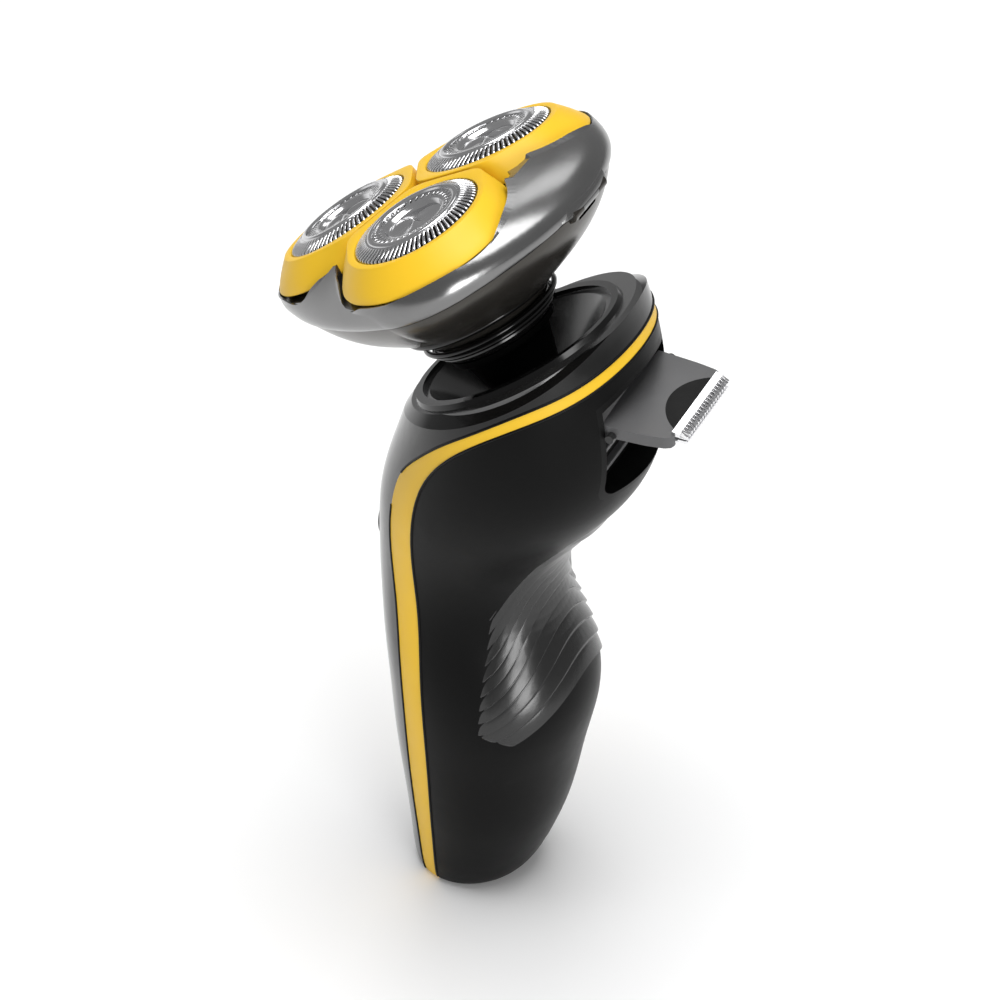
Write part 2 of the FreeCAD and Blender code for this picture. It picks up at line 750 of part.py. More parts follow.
def gear_blank(name, teeth, first_tooth_angle):
    wheel = gear_face(teeth, first_tooth_angle).extrude(Vector(0, 0, size("gear_thick")))
    wheel.translate(Vector(0, 0, -size("gear_top") - size("gear_thick")))
    return feature(name, wheel)


PINION_TEETH = 22
WHEEL_TEETH = 44
# Pinion: a tooth gap faces the first lobe; 22 teeth leave other phases at the others.
pinion_wheel = gear_blank("pinion_wheel", PINION_TEETH, 0.0)
sleeve = turned("sleeve", [
    ("0", "- gear_top + 1.6"), ("1.4", "- gear_top + 1.6"), ("1.4", "- gear_top"),
    ("2.7", "- gear_top"), ("2.7", "- pivot_depth - 1.6"), ("1.9", "- pivot_depth - 1.6"),
    ("1.9", "- pivot_depth + 1.9"), ("0", "- pivot_depth + 1.9"),
])
pinion_all = fuse("pinion_all", pinion_wheel, sleeve)
pinion_eye = cylinder("pinion_eye", "1.9", "3.5", (0, 0, -size("pivot_depth") - 1.6))
node("sun_pinion", cut("sun_pinion_cut", pinion_all, pinion_eye), HEAD)

SPINDLE_BALL = 6.6
for lobe, angle in LOBES.items():
    name = f"driven_gear_{lobe}"
    pinion_pitch = 2 * math.pi / PINION_TEETH
    phase = math.radians(angle) % pinion_pitch / pinion_pitch
    wheel_pitch = 2 * math.pi / WHEEL_TEETH
    facing = math.pi + (0.5 + phase) * wheel_pitch
    wheel = gear_blank(f"{name}_wheel", WHEEL_TEETH, facing)
    spindle = turned(f"{name}_spindle", [
        ("0", "- gear_top - gear_thick - 0.9"), ("1.2", "- gear_top - gear_thick - 0.9"),
        ("1.2", "- gear_top - gear_thick"), ("2.6", "- gear_top - gear_thick"),
        ("2.6", "- gear_top + 0.5"), ("1.3", "- gear_top + 0.5"),
        ("1.1", f"- {SPINDLE_BALL} - 1.1"), ("1.5", f"- {SPINDLE_BALL} - 0.3"),
        ("1.5", f"- {SPINDLE_BALL} + 0.4"), ("0.9", f"- {SPINDLE_BALL} + 1.3"),
        ("0", f"- {SPINDLE_BALL} + 1.5"),
    ])
    reach = Placement(Vector(size("gear_reach"), 0, 0), Rotation())
    place = turned_about_neck(angle).multiply(reach)
    node(name, fuse(f"{name}_all", wheel, spindle), place)

# Ball cup with its flange: holds the ball and carries the spindles' feet.
cup_blank = turned("cup_blank", [
    ("0", "- 22.8"), ("13", "- 22.8"), ("13", "- 21.6"), ("9.4", "- 20.6"),
    ("9.4", "- pivot_depth + 1.4"), ("0", "- pivot_depth + 1.4"),
])
cup_ball = sphere_zone("cup_ball", "ball_radius + 0.3")
cup_mouth = cylinder("cup_mouth", "6.2", "6", (0, 0, -25))
node("ball_cup", cut("ball_cup_cut", cup_blank, cup_ball, cup_mouth), HEAD)

# Gear plate: thin cover over the gears, seated inside the lower shell.
plate_blank = shell_solid("plate_blank", [
    (32.2, 24.6, 29.4, 13.3, 12.3), (31.9, 24.3, 29.1, 13.1, 13.1),
])
plate_fit = common("plate_fit", plate_blank, lower_room)
plate_holes = in_each_lobe("plate_hole", spindle_hole)
plate_eye = cylinder("plate_eye", "1.6", "6", (0, 0, -15))
node("gear_plate", cut("gear_plate_cut", plate_fit, plate_eye, *plate_holes), HEAD)

# Release button in the front of the lower shell.
release = padded("release_button", "XY_Plane", [
    ("- 4.9", "- 32.2"), ("- 3.4", "- 33.2"), ("3.4", "- 33.2"), ("4.9", "- 32.2"),
    ("4.9", "- 29.4"), ("- 4.9", "- 29.4"),
], "2.8", HEAD.multiply(Placement(Vector(0, 0, RELEASE_Z - 1.4), Rotation())))
node("release_button", release)

# --------------------------------------------------------------------------
# Shaving units: petal, foil and cutter at each lobe
# --------------------------------------------------------------------------

SLOTS = 36
BLADES = 12


def petal_blank(name, inset, sink):
    """A sloped round lobe with straight flanks running in to the head's axis."""
    rise = size("petal_foot - petal_top")
    cone = primitive(
        "Cone", f"{name}_cone", Radius1=f"petal_foot_radius - {inset}",
        Radius2=f"petal_radius - {inset}", Height="petal_foot - petal_top",
    )
    foot = -size("petal_foot") - sink
    cone.Placement = Placement(Vector(0, 0, foot), Rotation())
    flanks = padded(f"{name}_flanks", "YZ_Plane", [
        (f"- petal_foot_radius + {inset}", "0"), (f"petal_foot_radius - {inset}", "0"),
        (f"petal_radius - {inset}", f"{rise:.2f}"), (f"- petal_radius + {inset}", f"{rise:.2f}"),
    ], "lobe_reach + 0.6", Placement(Vector(-size("lobe_reach + 0.6"), 0, foot), Rotation()))
    return fuse(name, cone, flanks)


def petal(lobe):
    """Floating frame: a bevelled lobe with the foil's hole."""
    name = f"petal_{lobe}"
    outside = petal_blank(f"{name}_outside", 0, 0)
    room = petal_blank(f"{name}_room", size("petal_wall"), size("petal_wall"))
    hole = cylinder(f"{name}_hole", "foil_radius + 0.05", "20", (0, 0, -10))
    ring = primitive(
        "Cylinder", f"{name}_ring", Radius="foil_radius + 1.1", Height="foil_drop - petal_top"
    )
    ring.Placement = Placement(Vector(0, 0, -size("foil_drop")), Rotation())
    dish = cut(f"{name}_dish", outside, room)
    framed = fuse(f"{name}_framed", dish, ring)
    open_frame = cut(f"{name}_open", framed, hole)
    open_frame.Placement = local_disc_frame(0)
    gap = size("petal_gap") / math.sin(math.radians(60))
    far = 60.0
    across_far = far * math.sin(math.radians(60))
    wedge = padded(f"{name}_wedge", "XY_Plane", [
        (f"{gap:.3f}", "0"), (f"{gap + far / 2:.3f}", f"{across_far:.3f}"),
        ("80", "0"), (f"{gap + far / 2:.3f}", f"- {across_far:.3f}"),
    ], "40", Placement(Vector(0, 0, -20), Rotation()))
    return common(f"{name}_cut", open_frame, wedge)


def foil(lobe):
    """Slotted foil cap, with its slots made by a polar pattern."""
    name = f"foil_{lobe}"
    body = turned(name, [
        ("0", "- foil_wall - 0.5"), ("4.6", "- foil_wall - 0.5"), ("5.4", "- foil_wall"),
        ("foil_radius - foil_wall", "- foil_wall"), ("foil_radius - foil_wall", "- foil_drop"),
        ("foil_radius", "- foil_drop"), ("foil_radius", "- 0.5"),
        ("foil_radius - 0.5", "0"), ("5.8", "0"), ("5.0", "- 0.5"), ("0", "- 0.5"),
    ])
    turn = body.Tip
    slot = sketch_on(body, f"{name}_slot", "XY_Plane", [
        ("slot_inner", "- slot_half"), ("foil_radius + 1", "- slot_half"),
        ("foil_radius + 1", "slot_half"), ("slot_inner", "slot_half"),
    ])
    pocket = body.newObject("PartDesign::Pocket", f"{name}_pocket")
    pocket.Profile = slot
    pocket.Length = 1.1
    pocket.Reversed = False
    pattern = body.newObject("PartDesign::PolarPattern", f"{name}_pattern")
    pattern.Originals = [pocket]
    pattern.Axis = (slot, ["N_Axis"])
    pattern.Angle = 360
    pattern.Occurrences = SLOTS
    body.Tip = pattern
    doc.recompute()
    if not body.Shape.Volume < turn.Shape.Volume - 1:
        raise ValueError(f"{name}: the slots cut nothing")
    return body


def cutter(lobe):
    """Rotating cutter: hub with its drive socket, thin disc and upright blades."""
    name = f"cutter_{lobe}"
    hub = turned(f"{name}_hub", [
        ("2", "- 6.9"), ("3", "- 6.9"), ("3", "- 3.2"), ("cutter_radius", "- 3.2"),
        ("cutter_radius", "- 2.6"), ("2", "- 2.6"), ("0", "- 2.6"), ("0", "- 4.4"),
        ("2", "- 4.4"),
    ])
    blade = primitive(
        "Box", f"{name}_blade", Length="2.4", Width="0.6", Height="2.05"
    )
    blade.Placement = Placement(Vector(size("cutter_radius") - 2.4, -0.3, -2.8), Rotation())
    ring = doc.addObject("Part::Feature", f"{name}_ring")
    copies = []
    doc.recompute()
    for i in range(BLADES):
        one = blade.Shape.copy()
        one.rotate(Vector(), Z_AXIS, 360 * i / BLADES)
        copies.append(one)
    ring.Shape = Part.makeCompound(copies)
    return fuse(f"{name}_all", hub, ring)


for lobe, angle in LOBES.items():
    node(f"petal_{lobe}", petal(lobe), turned_about_neck(angle))
    node(f"foil_{lobe}", foil(lobe), disc_frame(angle))
    node(f"cutter_{lobe}", cutter(lobe), disc_frame(angle))

# --------------------------------------------------------------------------
# Drive: motor, its plate and the shaft up the neck
# --------------------------------------------------------------------------

MOTOR_TOP = 49.6
MOTOR_LENGTH = 16.0
MOTOR_RADIUS = 10.0
MOTOR_FLAT = 7.0
can = cylinder("motor_can", str(MOTOR_RADIUS), str(MOTOR_LENGTH), (0, 0, -MOTOR_TOP - MOTOR_LENGTH))
can_flats = box("can_flats", (-20, 20), (-MOTOR_FLAT, MOTOR_FLAT), (-80, -40))
can_body = common("can_body", can, can_flats)
can_nose = cylinder("can_nose", "3", "0.9", (0, 0, -MOTOR_TOP))
motor_all = fuse("motor_all", can_body, can_nose)
can_bore = cylinder("can_bore", "1.05", "30", (0, 0, -MOTOR_TOP - 4))
node("drive_motor", cut("drive_motor_cut", motor_all, can_bore), HEAD)

mount_plate = box(
    "mount_plate", (-12, 12), (-8, 8), (-MOTOR_TOP, -size("bowl_depth") - 1.8)
)
mount_eye = cylinder("mount_eye", "4.2", "10", (0, 0, -MOTOR_TOP - 2))
mount_holes = [
    cylinder(f"mount_hole_{i}", "0.9", "10", (x, 0, -MOTOR_TOP - 2)) for i, x in enumerate((-7, 7))
]
node("motor_plate", cut("motor_plate_cut", mount_plate, mount_eye, *mount_holes), HEAD)

node("drive_shaft", turned("drive_shaft", [
    ("0", f"- {MOTOR_TOP} - 3.6"), ("1", f"- {MOTOR_TOP} - 3.6"), ("1", "- pivot_depth - 1.5"),
    ("1.5", "- pivot_depth - 0.6"), ("1.5", "- pivot_depth + 0.6"), ("0.9", "- pivot_depth + 1.3"),
    ("0", "- pivot_depth + 1.5"),
], HEAD))

# --------------------------------------------------------------------------
# Handle insides: frame, cell, circuit board, switch, button and lens
# --------------------------------------------------------------------------

CELL_RADIUS = 9.0
CELL_Y = 5.0
CELL_LOW = 15.0
CELL_TOP = 65.0
node("battery_cell", turned("battery_cell", [
    ("0", str(CELL_LOW)), (f"{CELL_RADIUS}", str(CELL_LOW)), (f"{CELL_RADIUS}", f"{CELL_TOP} - 1"),
    (f"{CELL_RADIUS} - 0.6", str(CELL_TOP)), ("3", str(CELL_TOP)), ("3", f"{CELL_TOP} + 1.2"),
    ("0", f"{CELL_TOP} + 1.2"),
], Placement(Vector(0, CELL_Y, 0), Rotation())))

BOARD_Y = -8.6
BOARD_THICK = 1.4
node("circuit_board", padded("circuit_board", "XZ_Plane", [
    ("- 7", "26"), ("7", "26"), ("7.6", "60"), ("7.6", "92"), ("- 7.6", "92"), ("- 7.6", "60"),
], f"{BOARD_THICK}", Placement(Vector(0, BOARD_Y + BOARD_THICK, 0), Rotation())))

frame_back = box("frame_back", (-8, 8), (BOARD_Y + BOARD_THICK, -5.2), (12, 96))
frame_foot = box("frame_foot", (-8.6, 8.6), (-7, 12), (12, CELL_LOW))
frame_top = box("frame_top", (-9, 9), (-7, 11), (CELL_TOP + 1.2, CELL_TOP + 3.4))
frame_legs = box("frame_legs", (-7.5, 7.5), (-5.2, 2), (92, 96))
cell_room = cylinder("cell_room", f"{CELL_RADIUS} + 0.2", "48", (0, CELL_Y, CELL_LOW))
frame_all = fuse("frame_all", frame_back, frame_foot, frame_top, frame_legs)
node("inner_frame", cut("inner_frame_cut", frame_all, cell_room))

SWITCH_FRONT = -12.2
node("tact_switch", padded("tact_switch", "XZ_Plane", [
    ("- 3", "button_height - 3"), ("3", "button_height - 3"),
    ("3", "button_height + 3"), ("- 3", "button_height + 3"),
], f"{BOARD_Y - SWITCH_FRONT}", Placement(Vector(0, BOARD_Y, 0), Rotation())))

BUTTON_FACE = 17.2
node("power_button", turned("power_button", [
    ("0", "- 13.1"), ("2", "- 13.1"), ("2", "- 14"), ("button_radius", "- 14"),
    ("button_radius", f"- {BUTTON_FACE} + 0.8"), ("button_radius - 0.9", f"- {BUTTON_FACE}"),
    ("0", f"- {BUTTON_FACE} - 0.3"),
], Placement(Vector(0, 0, size("button_height")), Rotation(X_AXIS, -90))))

LENS_FACE = 15.2
node("indicator_lens", turned("indicator_lens", [
    ("0", "- 12.4"), ("1.45", "- 12.4"), ("1.45", f"- {LENS_FACE} + 0.3"),
    ("0", f"- {LENS_FACE}"),
], Placement(Vector(0, 0, LENS_HEIGHT), Rotation(X_AXIS, -90))))

# --------------------------------------------------------------------------
# Trimmer: flap, inset, comb, blade and hinge pin
# --------------------------------------------------------------------------

FLAP_ROOT = 31.8
FLAP_THICK = 4.4
FLAP_TIP_HALF = 10.4
FLAP_CROWN = 42.0
PIN_RADIUS = 0.8
flap_blank = padded("flap_blank", "XY_Plane", [
    ("- trimmer_half_width", str(FLAP_ROOT)), ("trimmer_half_width", str(FLAP_ROOT)),
    (f"{FLAP_TIP_HALF} + 1.4", "trimmer_tip - 4"), (f"{FLAP_TIP_HALF}", "trimmer_tip"),
    (f"- {FLAP_TIP_HALF}", "trimmer_tip"), (f"- {FLAP_TIP_HALF} - 1.4", "trimmer_tip - 4"),
], f"{FLAP_THICK}", Placement(Vector(0, 0, size("trimmer_top") - FLAP_THICK), Rotation()))
crown = cylinder(
    "flap_crown", str(FLAP_CROWN), "40",
    (0, 20, size("trimmer_top") - FLAP_CROWN), Rotation(X_AXIS, -90),
)
flap_body = common("flap_body", flap_blank, crown)
flap_hollow = box(
    "flap_hollow", (-10, 10), (36.4, size("trimmer_tip") + 1),
    (size("trimmer_top") - FLAP_THICK - 1, size("trimmer_top") - 1.6),
)
flap_bore = cylinder(
    "flap_bore", f"{PIN_RADIUS} + 0.06", "40",
    (-20, size("trimmer_pin_y"), size("trimmer_pin_z")), across,
)
inset_disc = cylinder(
    "inset_disc", "10.5", "0.9", (0, size("trimmer_tip") + 5.2, size("trimmer_top") - 0.8)
)
node("trimmer_flap", cut("trimmer_flap_cut", flap_body, flap_hollow, flap_bore, inset_disc))
inset_tool = cylinder(
    "inset_tool", "10.4", "0.7", (0, size("trimmer_tip") + 5.2, size("trimmer_top") - 0.8)
)
node("trimmer_inset", common("trimmer_inset_cut", inset_tool, flap_body))
pin_half = size("bay_half_width") - 0.2
node(
    "trimmer_pin",
    cylinder("trimmer_pin_rod", str(PIN_RADIUS), str(2 * pin_half),
             (-pin_half, size("trimmer_pin_y"), size("trimmer_pin_z")), across),
)

COMB_TOP = size("trimmer_top") - 1.6
COMB_TEETH = 20
BLADE_TEETH = 18
TOOTH_PITCH = 0.98


def toothed_bar(name, count, half, y, z, tooth_length, tooth_width):
    """Flat bar with a row of teeth along its outer edge."""
    bar = box(f"{name}_bar", (-half, half), y, z)
    teeth = []
    start = -TOOTH_PITCH * (count - 1) / 2
    for i in range(count):
        x = start + i * TOOTH_PITCH
        teeth.append(Part.makeBox(
            tooth_width, tooth_length + 0.2, z[1] - z[0], Vector(x - tooth_width / 2, y[1] - 0.2, z[0])
        ))
    row = feature(f"{name}_teeth", Part.makeCompound(teeth))
    return fuse(f"{name}_all", bar, row)


node("trimmer_comb", toothed_bar(
    "trimmer_comb", COMB_TEETH, 10.0, (38.5, 45.4), (COMB_TOP - 0.6, COMB_TOP), 1.8, 0.45
))
node("trimmer_blade", toothed_bar(
    "trimmer_blade", BLADE_TEETH, 8.9, (39.2, 45.2), (COMB_TOP - 1.25, COMB_TOP - 0.65), 1.5, 0.5
))

# --------------------------------------------------------------------------
# Screws
# --------------------------------------------------------------------------

node("base_screws", fuse(
    "base_screws_pair",
    screw("base_screw_0", Placement(Vector(-7, 0, 1.3), Rotation(X_AXIS, 180))),
    screw("base_screw_1", Placement(Vector(7, 0, 1.3), Rotation(X_AXIS, 180))),
))


def check(obj):
    """Stop on a failed object."""
    if "Invalid" in obj.State or "Error" in obj.State:
        raise ValueError(f"{obj.Name} failed: {obj.State}")


doc.recompute()
for obj in doc.Objects:
    check(obj)
os.makedirs("parts", exist_ok=True)
for label, obj in NODES.items():
    shape = obj.Shape
    if shape.isNull() or not shape.isValid():
        raise ValueError(f"{label}: no valid shape")
    solids = len(shape.Solids)
    print(f"{label:28s} solids {solids}  volume {shape.Volume:10.1f}")
    shape.exportStep(f"parts/{label}.step")
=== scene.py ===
# %% [markdown]
# # A rotary shaver, dressed up from its working parts
#
# The working parts come first: every shell, gear, pin and joint of this shaver already
# exists at its true size. This lesson adds the looks: slotted foils, soft-edged yellow
# petals, a ribbed grip, and the glossy and satin plastics that make it read as a product.
# We work in metres inside the frame of the parts, so nothing has to be fitted by eye.

# %% Start from the finished parts
import json
import math
import bpy
import numpy as np
from mathutils import Matrix, Vector
from mathutils.bvhtree import BVHTree


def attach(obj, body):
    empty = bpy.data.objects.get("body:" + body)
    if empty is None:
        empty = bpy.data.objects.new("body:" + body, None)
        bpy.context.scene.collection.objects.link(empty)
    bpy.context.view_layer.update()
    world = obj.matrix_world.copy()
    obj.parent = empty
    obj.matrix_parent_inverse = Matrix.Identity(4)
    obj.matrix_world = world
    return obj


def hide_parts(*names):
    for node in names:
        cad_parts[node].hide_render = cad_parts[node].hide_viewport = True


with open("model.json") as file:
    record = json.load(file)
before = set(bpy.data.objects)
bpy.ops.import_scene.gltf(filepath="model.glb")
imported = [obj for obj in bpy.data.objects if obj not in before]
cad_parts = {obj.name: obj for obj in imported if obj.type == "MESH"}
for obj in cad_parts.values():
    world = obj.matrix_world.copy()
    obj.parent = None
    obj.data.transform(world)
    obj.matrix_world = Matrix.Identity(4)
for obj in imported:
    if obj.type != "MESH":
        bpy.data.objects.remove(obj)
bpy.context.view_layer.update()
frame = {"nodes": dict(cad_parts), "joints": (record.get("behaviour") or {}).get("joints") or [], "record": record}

# %% [markdown]
# ## Where things are
#
# The head leans forward on the neck and each shaving disc leans a little outward, so
# working in world axes would be painful. A turner clamps the job square to the lathe; we
# do the same and read one small frame per feature from the joints: a spindle's joint says
# where its centre is and which way it points.

# %% Frames taken from the joints
MM = 0.001
JOINTS = {joint["name"]: joint for joint in frame["joints"]}
LOBES = ("back_right", "back_left", "front")


def frame_from(origin, up, across):
    """A 4 x 4 frame with Z along up and X as near as it can be to across."""
    z = Vector(up).normalized()
    x = (Vector(across) - Vector(across).dot(z) * z).normalized()
    y = z.cross(x)
    rotation = Matrix((x, y, z)).transposed().to_4x4()
    return Matrix.Translation(Vector(origin)) @ rotation


CUTTER_DEPTH = 2.6
NECK_PIVOT_DEPTH = 18.0
neck_axis = Vector(JOINTS["drive_spin"]["axis"]).normalized()
pivot = Vector(JOINTS["neck_pitch"]["pos_m"])
HEAD = frame_from(pivot + neck_axis * NECK_PIVOT_DEPTH * MM, neck_axis, (1, 0, 0))
DISC = {}
for lobe in LOBES:
    spin = JOINTS[f"cutter_spin_{lobe}"]
    axis = Vector(spin["axis"]).normalized()
    face = Vector(spin["pos_m"]) + axis * CUTTER_DEPTH * MM
    outward = face - HEAD.translation
    DISC[lobe] = frame_from(face, axis, outward)
    print(lobe, "disc centre in mm:", [round(v / MM, 2) for v in face])

# %% [markdown]
# ## The room and the light
#
# Glossy black shows nothing of itself: what you see is what it mirrors. Product
# photographers therefore light the room, not the object, with large soft panels and
# a pale table. We make a pale floor, a dim even surround and three soft panels, each
# placed so that its reflection runs along a curve worth showing. The camera looks down on
# the object's right back corner through a long lens, so nothing is stretched.

# %% Floor, panels and camera
SCENE = bpy.context.scene
SCENE.view_settings.view_transform = "Standard"
SURROUND = 0.30


def plain_material(name, colour, roughness):
    """A simple surface for the floor."""
    material = bpy.data.materials.new(name)
    material.use_nodes = True
    shader = material.node_tree.nodes["Principled BSDF"]
    shader.inputs["Base Color"].default_value = (*colour, 1)
    shader.inputs["Roughness"].default_value = roughness
    return material


floor_mesh = bpy.data.meshes.new("floor")
REACH = 6.0
corners = [(REACH * x, REACH * y, 0) for x, y in ((-1, -1), (1, -1), (1, 1), (-1, 1))]
floor_mesh.from_pydata(corners, [], [(0, 1, 2, 3)])
floor = bpy.data.objects.new("floor", floor_mesh)
SCENE.collection.objects.link(floor)
floor_mesh.materials.append(plain_material("floor_paper", (0.93, 0.93, 0.93), 0.9))

world = bpy.data.worlds.new("studio")
SCENE.world = world
world.use_nodes = True
world.node_tree.nodes["Background"].inputs["Color"].default_value = (1, 1, 1, 1)
world.node_tree.nodes["Background"].inputs["Strength"].default_value = SURROUND


def panel(name, place, target, width, height, power):
    """A soft rectangular light that faces a target."""
    light = bpy.data.lights.new(name, "AREA")
    light.shape = "RECTANGLE"
    light.size = width
    light.size_y = height
    light.energy = power
    lamp = bpy.data.objects.new(name, light)
    SCENE.collection.objects.link(lamp)
    lamp.location = place
    lamp.rotation_mode = "QUATERNION"
    lamp.rotation_quaternion = (Vector(target) - Vector(place)).to_track_quat("-Z", "Y")
    return lamp


MIDDLE = (0, 0.01, 0.09)
panel("panel_top", (0.0, 0.0, 1.4), MIDDLE, 1.0, 1.0, 19)
panel("panel_far", (-0.95, -0.45, 1.0), MIDDLE, 0.6, 0.4, 2.0)
panel("panel_back", (0.85, 0.95, 0.28), MIDDLE, 0.5, 0.5, 8)

AZIMUTH = math.radians(115.4)
ELEVATION = math.radians(37.8)
camera_data = bpy.data.cameras.new("camera")
camera = bpy.data.objects.new("camera", camera_data)
SCENE.collection.objects.link(camera)
SCENE.camera = camera
camera_data.sensor_width = 36
camera_data.lens = 144
back = Vector((
    math.sin(AZIMUTH) * math.cos(ELEVATION),
    -math.cos(AZIMUTH) * math.cos(ELEVATION),
    math.sin(ELEVATION),
))
camera.location = (0.5341, 0.2596, 0.5483)
camera.rotation_mode = "QUATERNION"
camera.rotation_quaternion = (-back).to_track_quat("-Z", "Y")

# %% [markdown]
# ## Finishes
#
# Moulded plastic is never one flat colour. The mould leaves a fine grain, the pigment
# drifts a little, and handling polishes some patches more than others. One helper mixes
# all three from noise, so each finish below is a short line of its real facts: colour,
# gloss, whether it is metal, how coarse its grain is and how strongly it mirrors.

# %% A helper for procedural finishes
GRAIN_SIZES = {"polished": 900.0, "moulded": 2600.0, "sparked": 5200.0}
TINT_PATCHES, GLOSS_PATCHES = 90.0, 240.0
GLOSS_LEAST, GLOSS_MOST = 0.85, 1.2
GRAIN_DEPTH = 0.0004


def finish(name, colour, roughness, grain="moulded", relief=0.02, metal=0.0, drift=0.12, shine=0.5):
    """A finish with drifting colour, uneven gloss and a fine grain."""
    material = bpy.data.materials.new(name)
    material.use_nodes = True
    tree = material.node_tree
    shader = tree.nodes["Principled BSDF"]
    shader.inputs["Metallic"].default_value = metal
    shader.inputs["Specular IOR Level"].default_value = shine
    place = tree.nodes.new("ShaderNodeTexCoord")

    def noise(size, detail):
        node = tree.nodes.new("ShaderNodeTexNoise")
        node.inputs["Scale"].default_value = size
        node.inputs["Detail"].default_value = detail
        tree.links.new(place.outputs["Object"], node.inputs["Vector"])
        return node.outputs["Fac"]

    tint = tree.nodes.new("ShaderNodeMix")
    tint.data_type = "RGBA"
    tint.inputs["A"].default_value = (*[c * (1 - drift) for c in colour], 1)
    tint.inputs["B"].default_value = (*[min(1, c * (1 + drift)) for c in colour], 1)
    tree.links.new(noise(TINT_PATCHES, 3.0), tint.inputs["Factor"])
    tree.links.new(tint.outputs["Result"], shader.inputs["Base Color"])

    gloss = tree.nodes.new("ShaderNodeMapRange")
    gloss.inputs["To Min"].default_value = roughness * GLOSS_LEAST
    gloss.inputs["To Max"].default_value = roughness * GLOSS_MOST
    tree.links.new(noise(GLOSS_PATCHES, 4.0), gloss.inputs["Value"])
    tree.links.new(gloss.outputs["Result"], shader.inputs["Roughness"])

    bump = tree.nodes.new("ShaderNodeBump")
    bump.inputs["Strength"].default_value = relief
    bump.inputs["Distance"].default_value = GRAIN_DEPTH
    tree.links.new(noise(GRAIN_SIZES[grain], 2.0), bump.inputs["Height"])
    tree.links.new(bump.outputs["Normal"], shader.inputs["Normal"])
    return material


# %% [markdown]
# ### Which finish goes where
#
# The front panel and the shoulder are polished black, the part the hand holds is satin
# so that it doesn't slip, and the head shells carry a dark metallic lacquer. The yellow
# is coloured right through and only softly shiny. Inside, every part gets the finish of
# the stuff it is made from: pressed steel, green board, shrink-wrapped cell and milky
# nylon, but the cutters' steel is painted dark as painted shade, for the shadow under the
# foils. Three parts differ from others of their kind: two pins are painted near black as
# painted shade, so that they sink into their holes and don't catch the eye, and the deck's
# bowl is a dark mirror.

# %% The finishes
FINISHES = {
    "gloss_black": finish(
        "panel_gloss_black", (0.003, 0.003, 0.003), 0.13,
        "polished", 0.008, shine=0.35,
    ),
    "satin_black": finish(
        "casing_satin_black", (0.003, 0.003, 0.003), 0.34,
        "sparked", 0.03, shine=0.08,
    ),
    "yellow_gloss": finish(
        "accent_yellow", (0.80, 0.49, 0.018), 0.42,
        "moulded", 0.015, drift=0.04, shine=0.3,
    ),
    "head_gunmetal": finish(
        "head_gunmetal_lacquer", (0.20, 0.20, 0.20), 0.22,
        "polished", 0.006, metal=0.9,
    ),
    "head_lower": finish("head_lower_smoke", (0.050, 0.046, 0.040), 0.24, "polished", 0.01, metal=0.7),
    "collar_black": finish("collar_black_rubber", (0.005, 0.005, 0.005), 0.22, "moulded", 0.02),
    "bay_black": finish("bay_black_moulding", (0.002, 0.002, 0.002), 0.45, "moulded", 0.04, shine=0.15),
    "flap_grey": finish("flap_graphite", (0.085, 0.085, 0.087), 0.42, "sparked", 0.04),
    "foil_steel": finish("foil_bright_steel", (0.62, 0.62, 0.63), 0.16, "polished", 0.01, metal=1.0),
    # painted shade: the cutters' steel is painted this dark for the shadow they lie in under the foils
    "cutter_steel": finish("cutter_steel_painted_shade", (0.16, 0.16, 0.17), 0.40, "moulded", 0.03, metal=1.0),
    "blade_steel": finish("blade_bright_steel", (0.80, 0.80, 0.81), 0.22, "polished", 0.01, metal=1.0),
    "pin_steel": finish("pin_turned_steel", (0.50, 0.50, 0.51), 0.30, "moulded", 0.02, metal=1.0),
    "motor_can": finish("motor_zinc_can", (0.48, 0.49, 0.50), 0.38, "moulded", 0.05, metal=1.0),
    "gear_nylon": finish("gear_milky_nylon", (0.72, 0.70, 0.64), 0.45, "moulded", 0.02),
    "frame_nylon": finish("frame_grey_nylon", (0.20, 0.20, 0.21), 0.50, "sparked", 0.05),
    "board_green": finish("board_green_resist", (0.02, 0.14, 0.06), 0.32, "moulded", 0.04),
    "cell_wrap": finish("cell_blue_wrap", (0.03, 0.10, 0.34), 0.35, "moulded", 0.02),
    "switch_metal": finish("switch_pressed_steel", (0.55, 0.55, 0.56), 0.33, "moulded", 0.03, metal=1.0),
    "brass_pin": finish("contact_brass", (0.78, 0.55, 0.20), 0.25, "polished", 0.01, metal=1.0),
    "lens_clear": finish("lens_milky", (0.60, 0.66, 0.70), 0.20, "polished", 0.01),
}
OWN_FINISH = {
    # painted shade: both pins are painted near black so that they sink into the shade of their holes
    "trimmer_pin": finish("trimmer_pin_painted_shade", (0.010, 0.010, 0.010), 0.35, "moulded", 0.02),
    "head_hinge_pin": finish("hinge_pin_painted_shade", (0.015, 0.015, 0.015), 0.35, "moulded", 0.02),
    "deck_bowl": finish("bowl_mirror_black", (0.10, 0.10, 0.10), 0.20, "polished", 0.01, metal=0.8),
}
for part in frame["record"]["subparts"]:
    solid = frame["nodes"][part["node"]]
    solid.data.materials.clear()
    solid.data.materials.append(OWN_FINISH.get(part["node"], FINISHES[part["material_slot"]]))
    solid.data.shade_smooth()

# %% [markdown]
# ## Two helpers for new pieces
#
# Most of what follows is a grid of points bent into shape, the way a sheet is formed over
# a buck: rows run along the profile, columns run around it. One helper turns such a grid
# into a mesh, the other hangs the finished piece on its moving body and says which
# finish it wears.

# %% Grids into pieces
SHARP_ANGLE = math.radians(38)


def grid_faces(rows, columns, wrap_rows=False, wrap_columns=True):
    """Quads that join a grid of points, row by row."""
    faces = []
    for i in range(rows if wrap_rows else rows - 1):
        for j in range(columns if wrap_columns else columns - 1):
            here, there = i * columns, ((i + 1) % rows) * columns
            beside = (j + 1) % columns
            faces.append((here + j, here + beside, there + beside, there + j))
    return faces


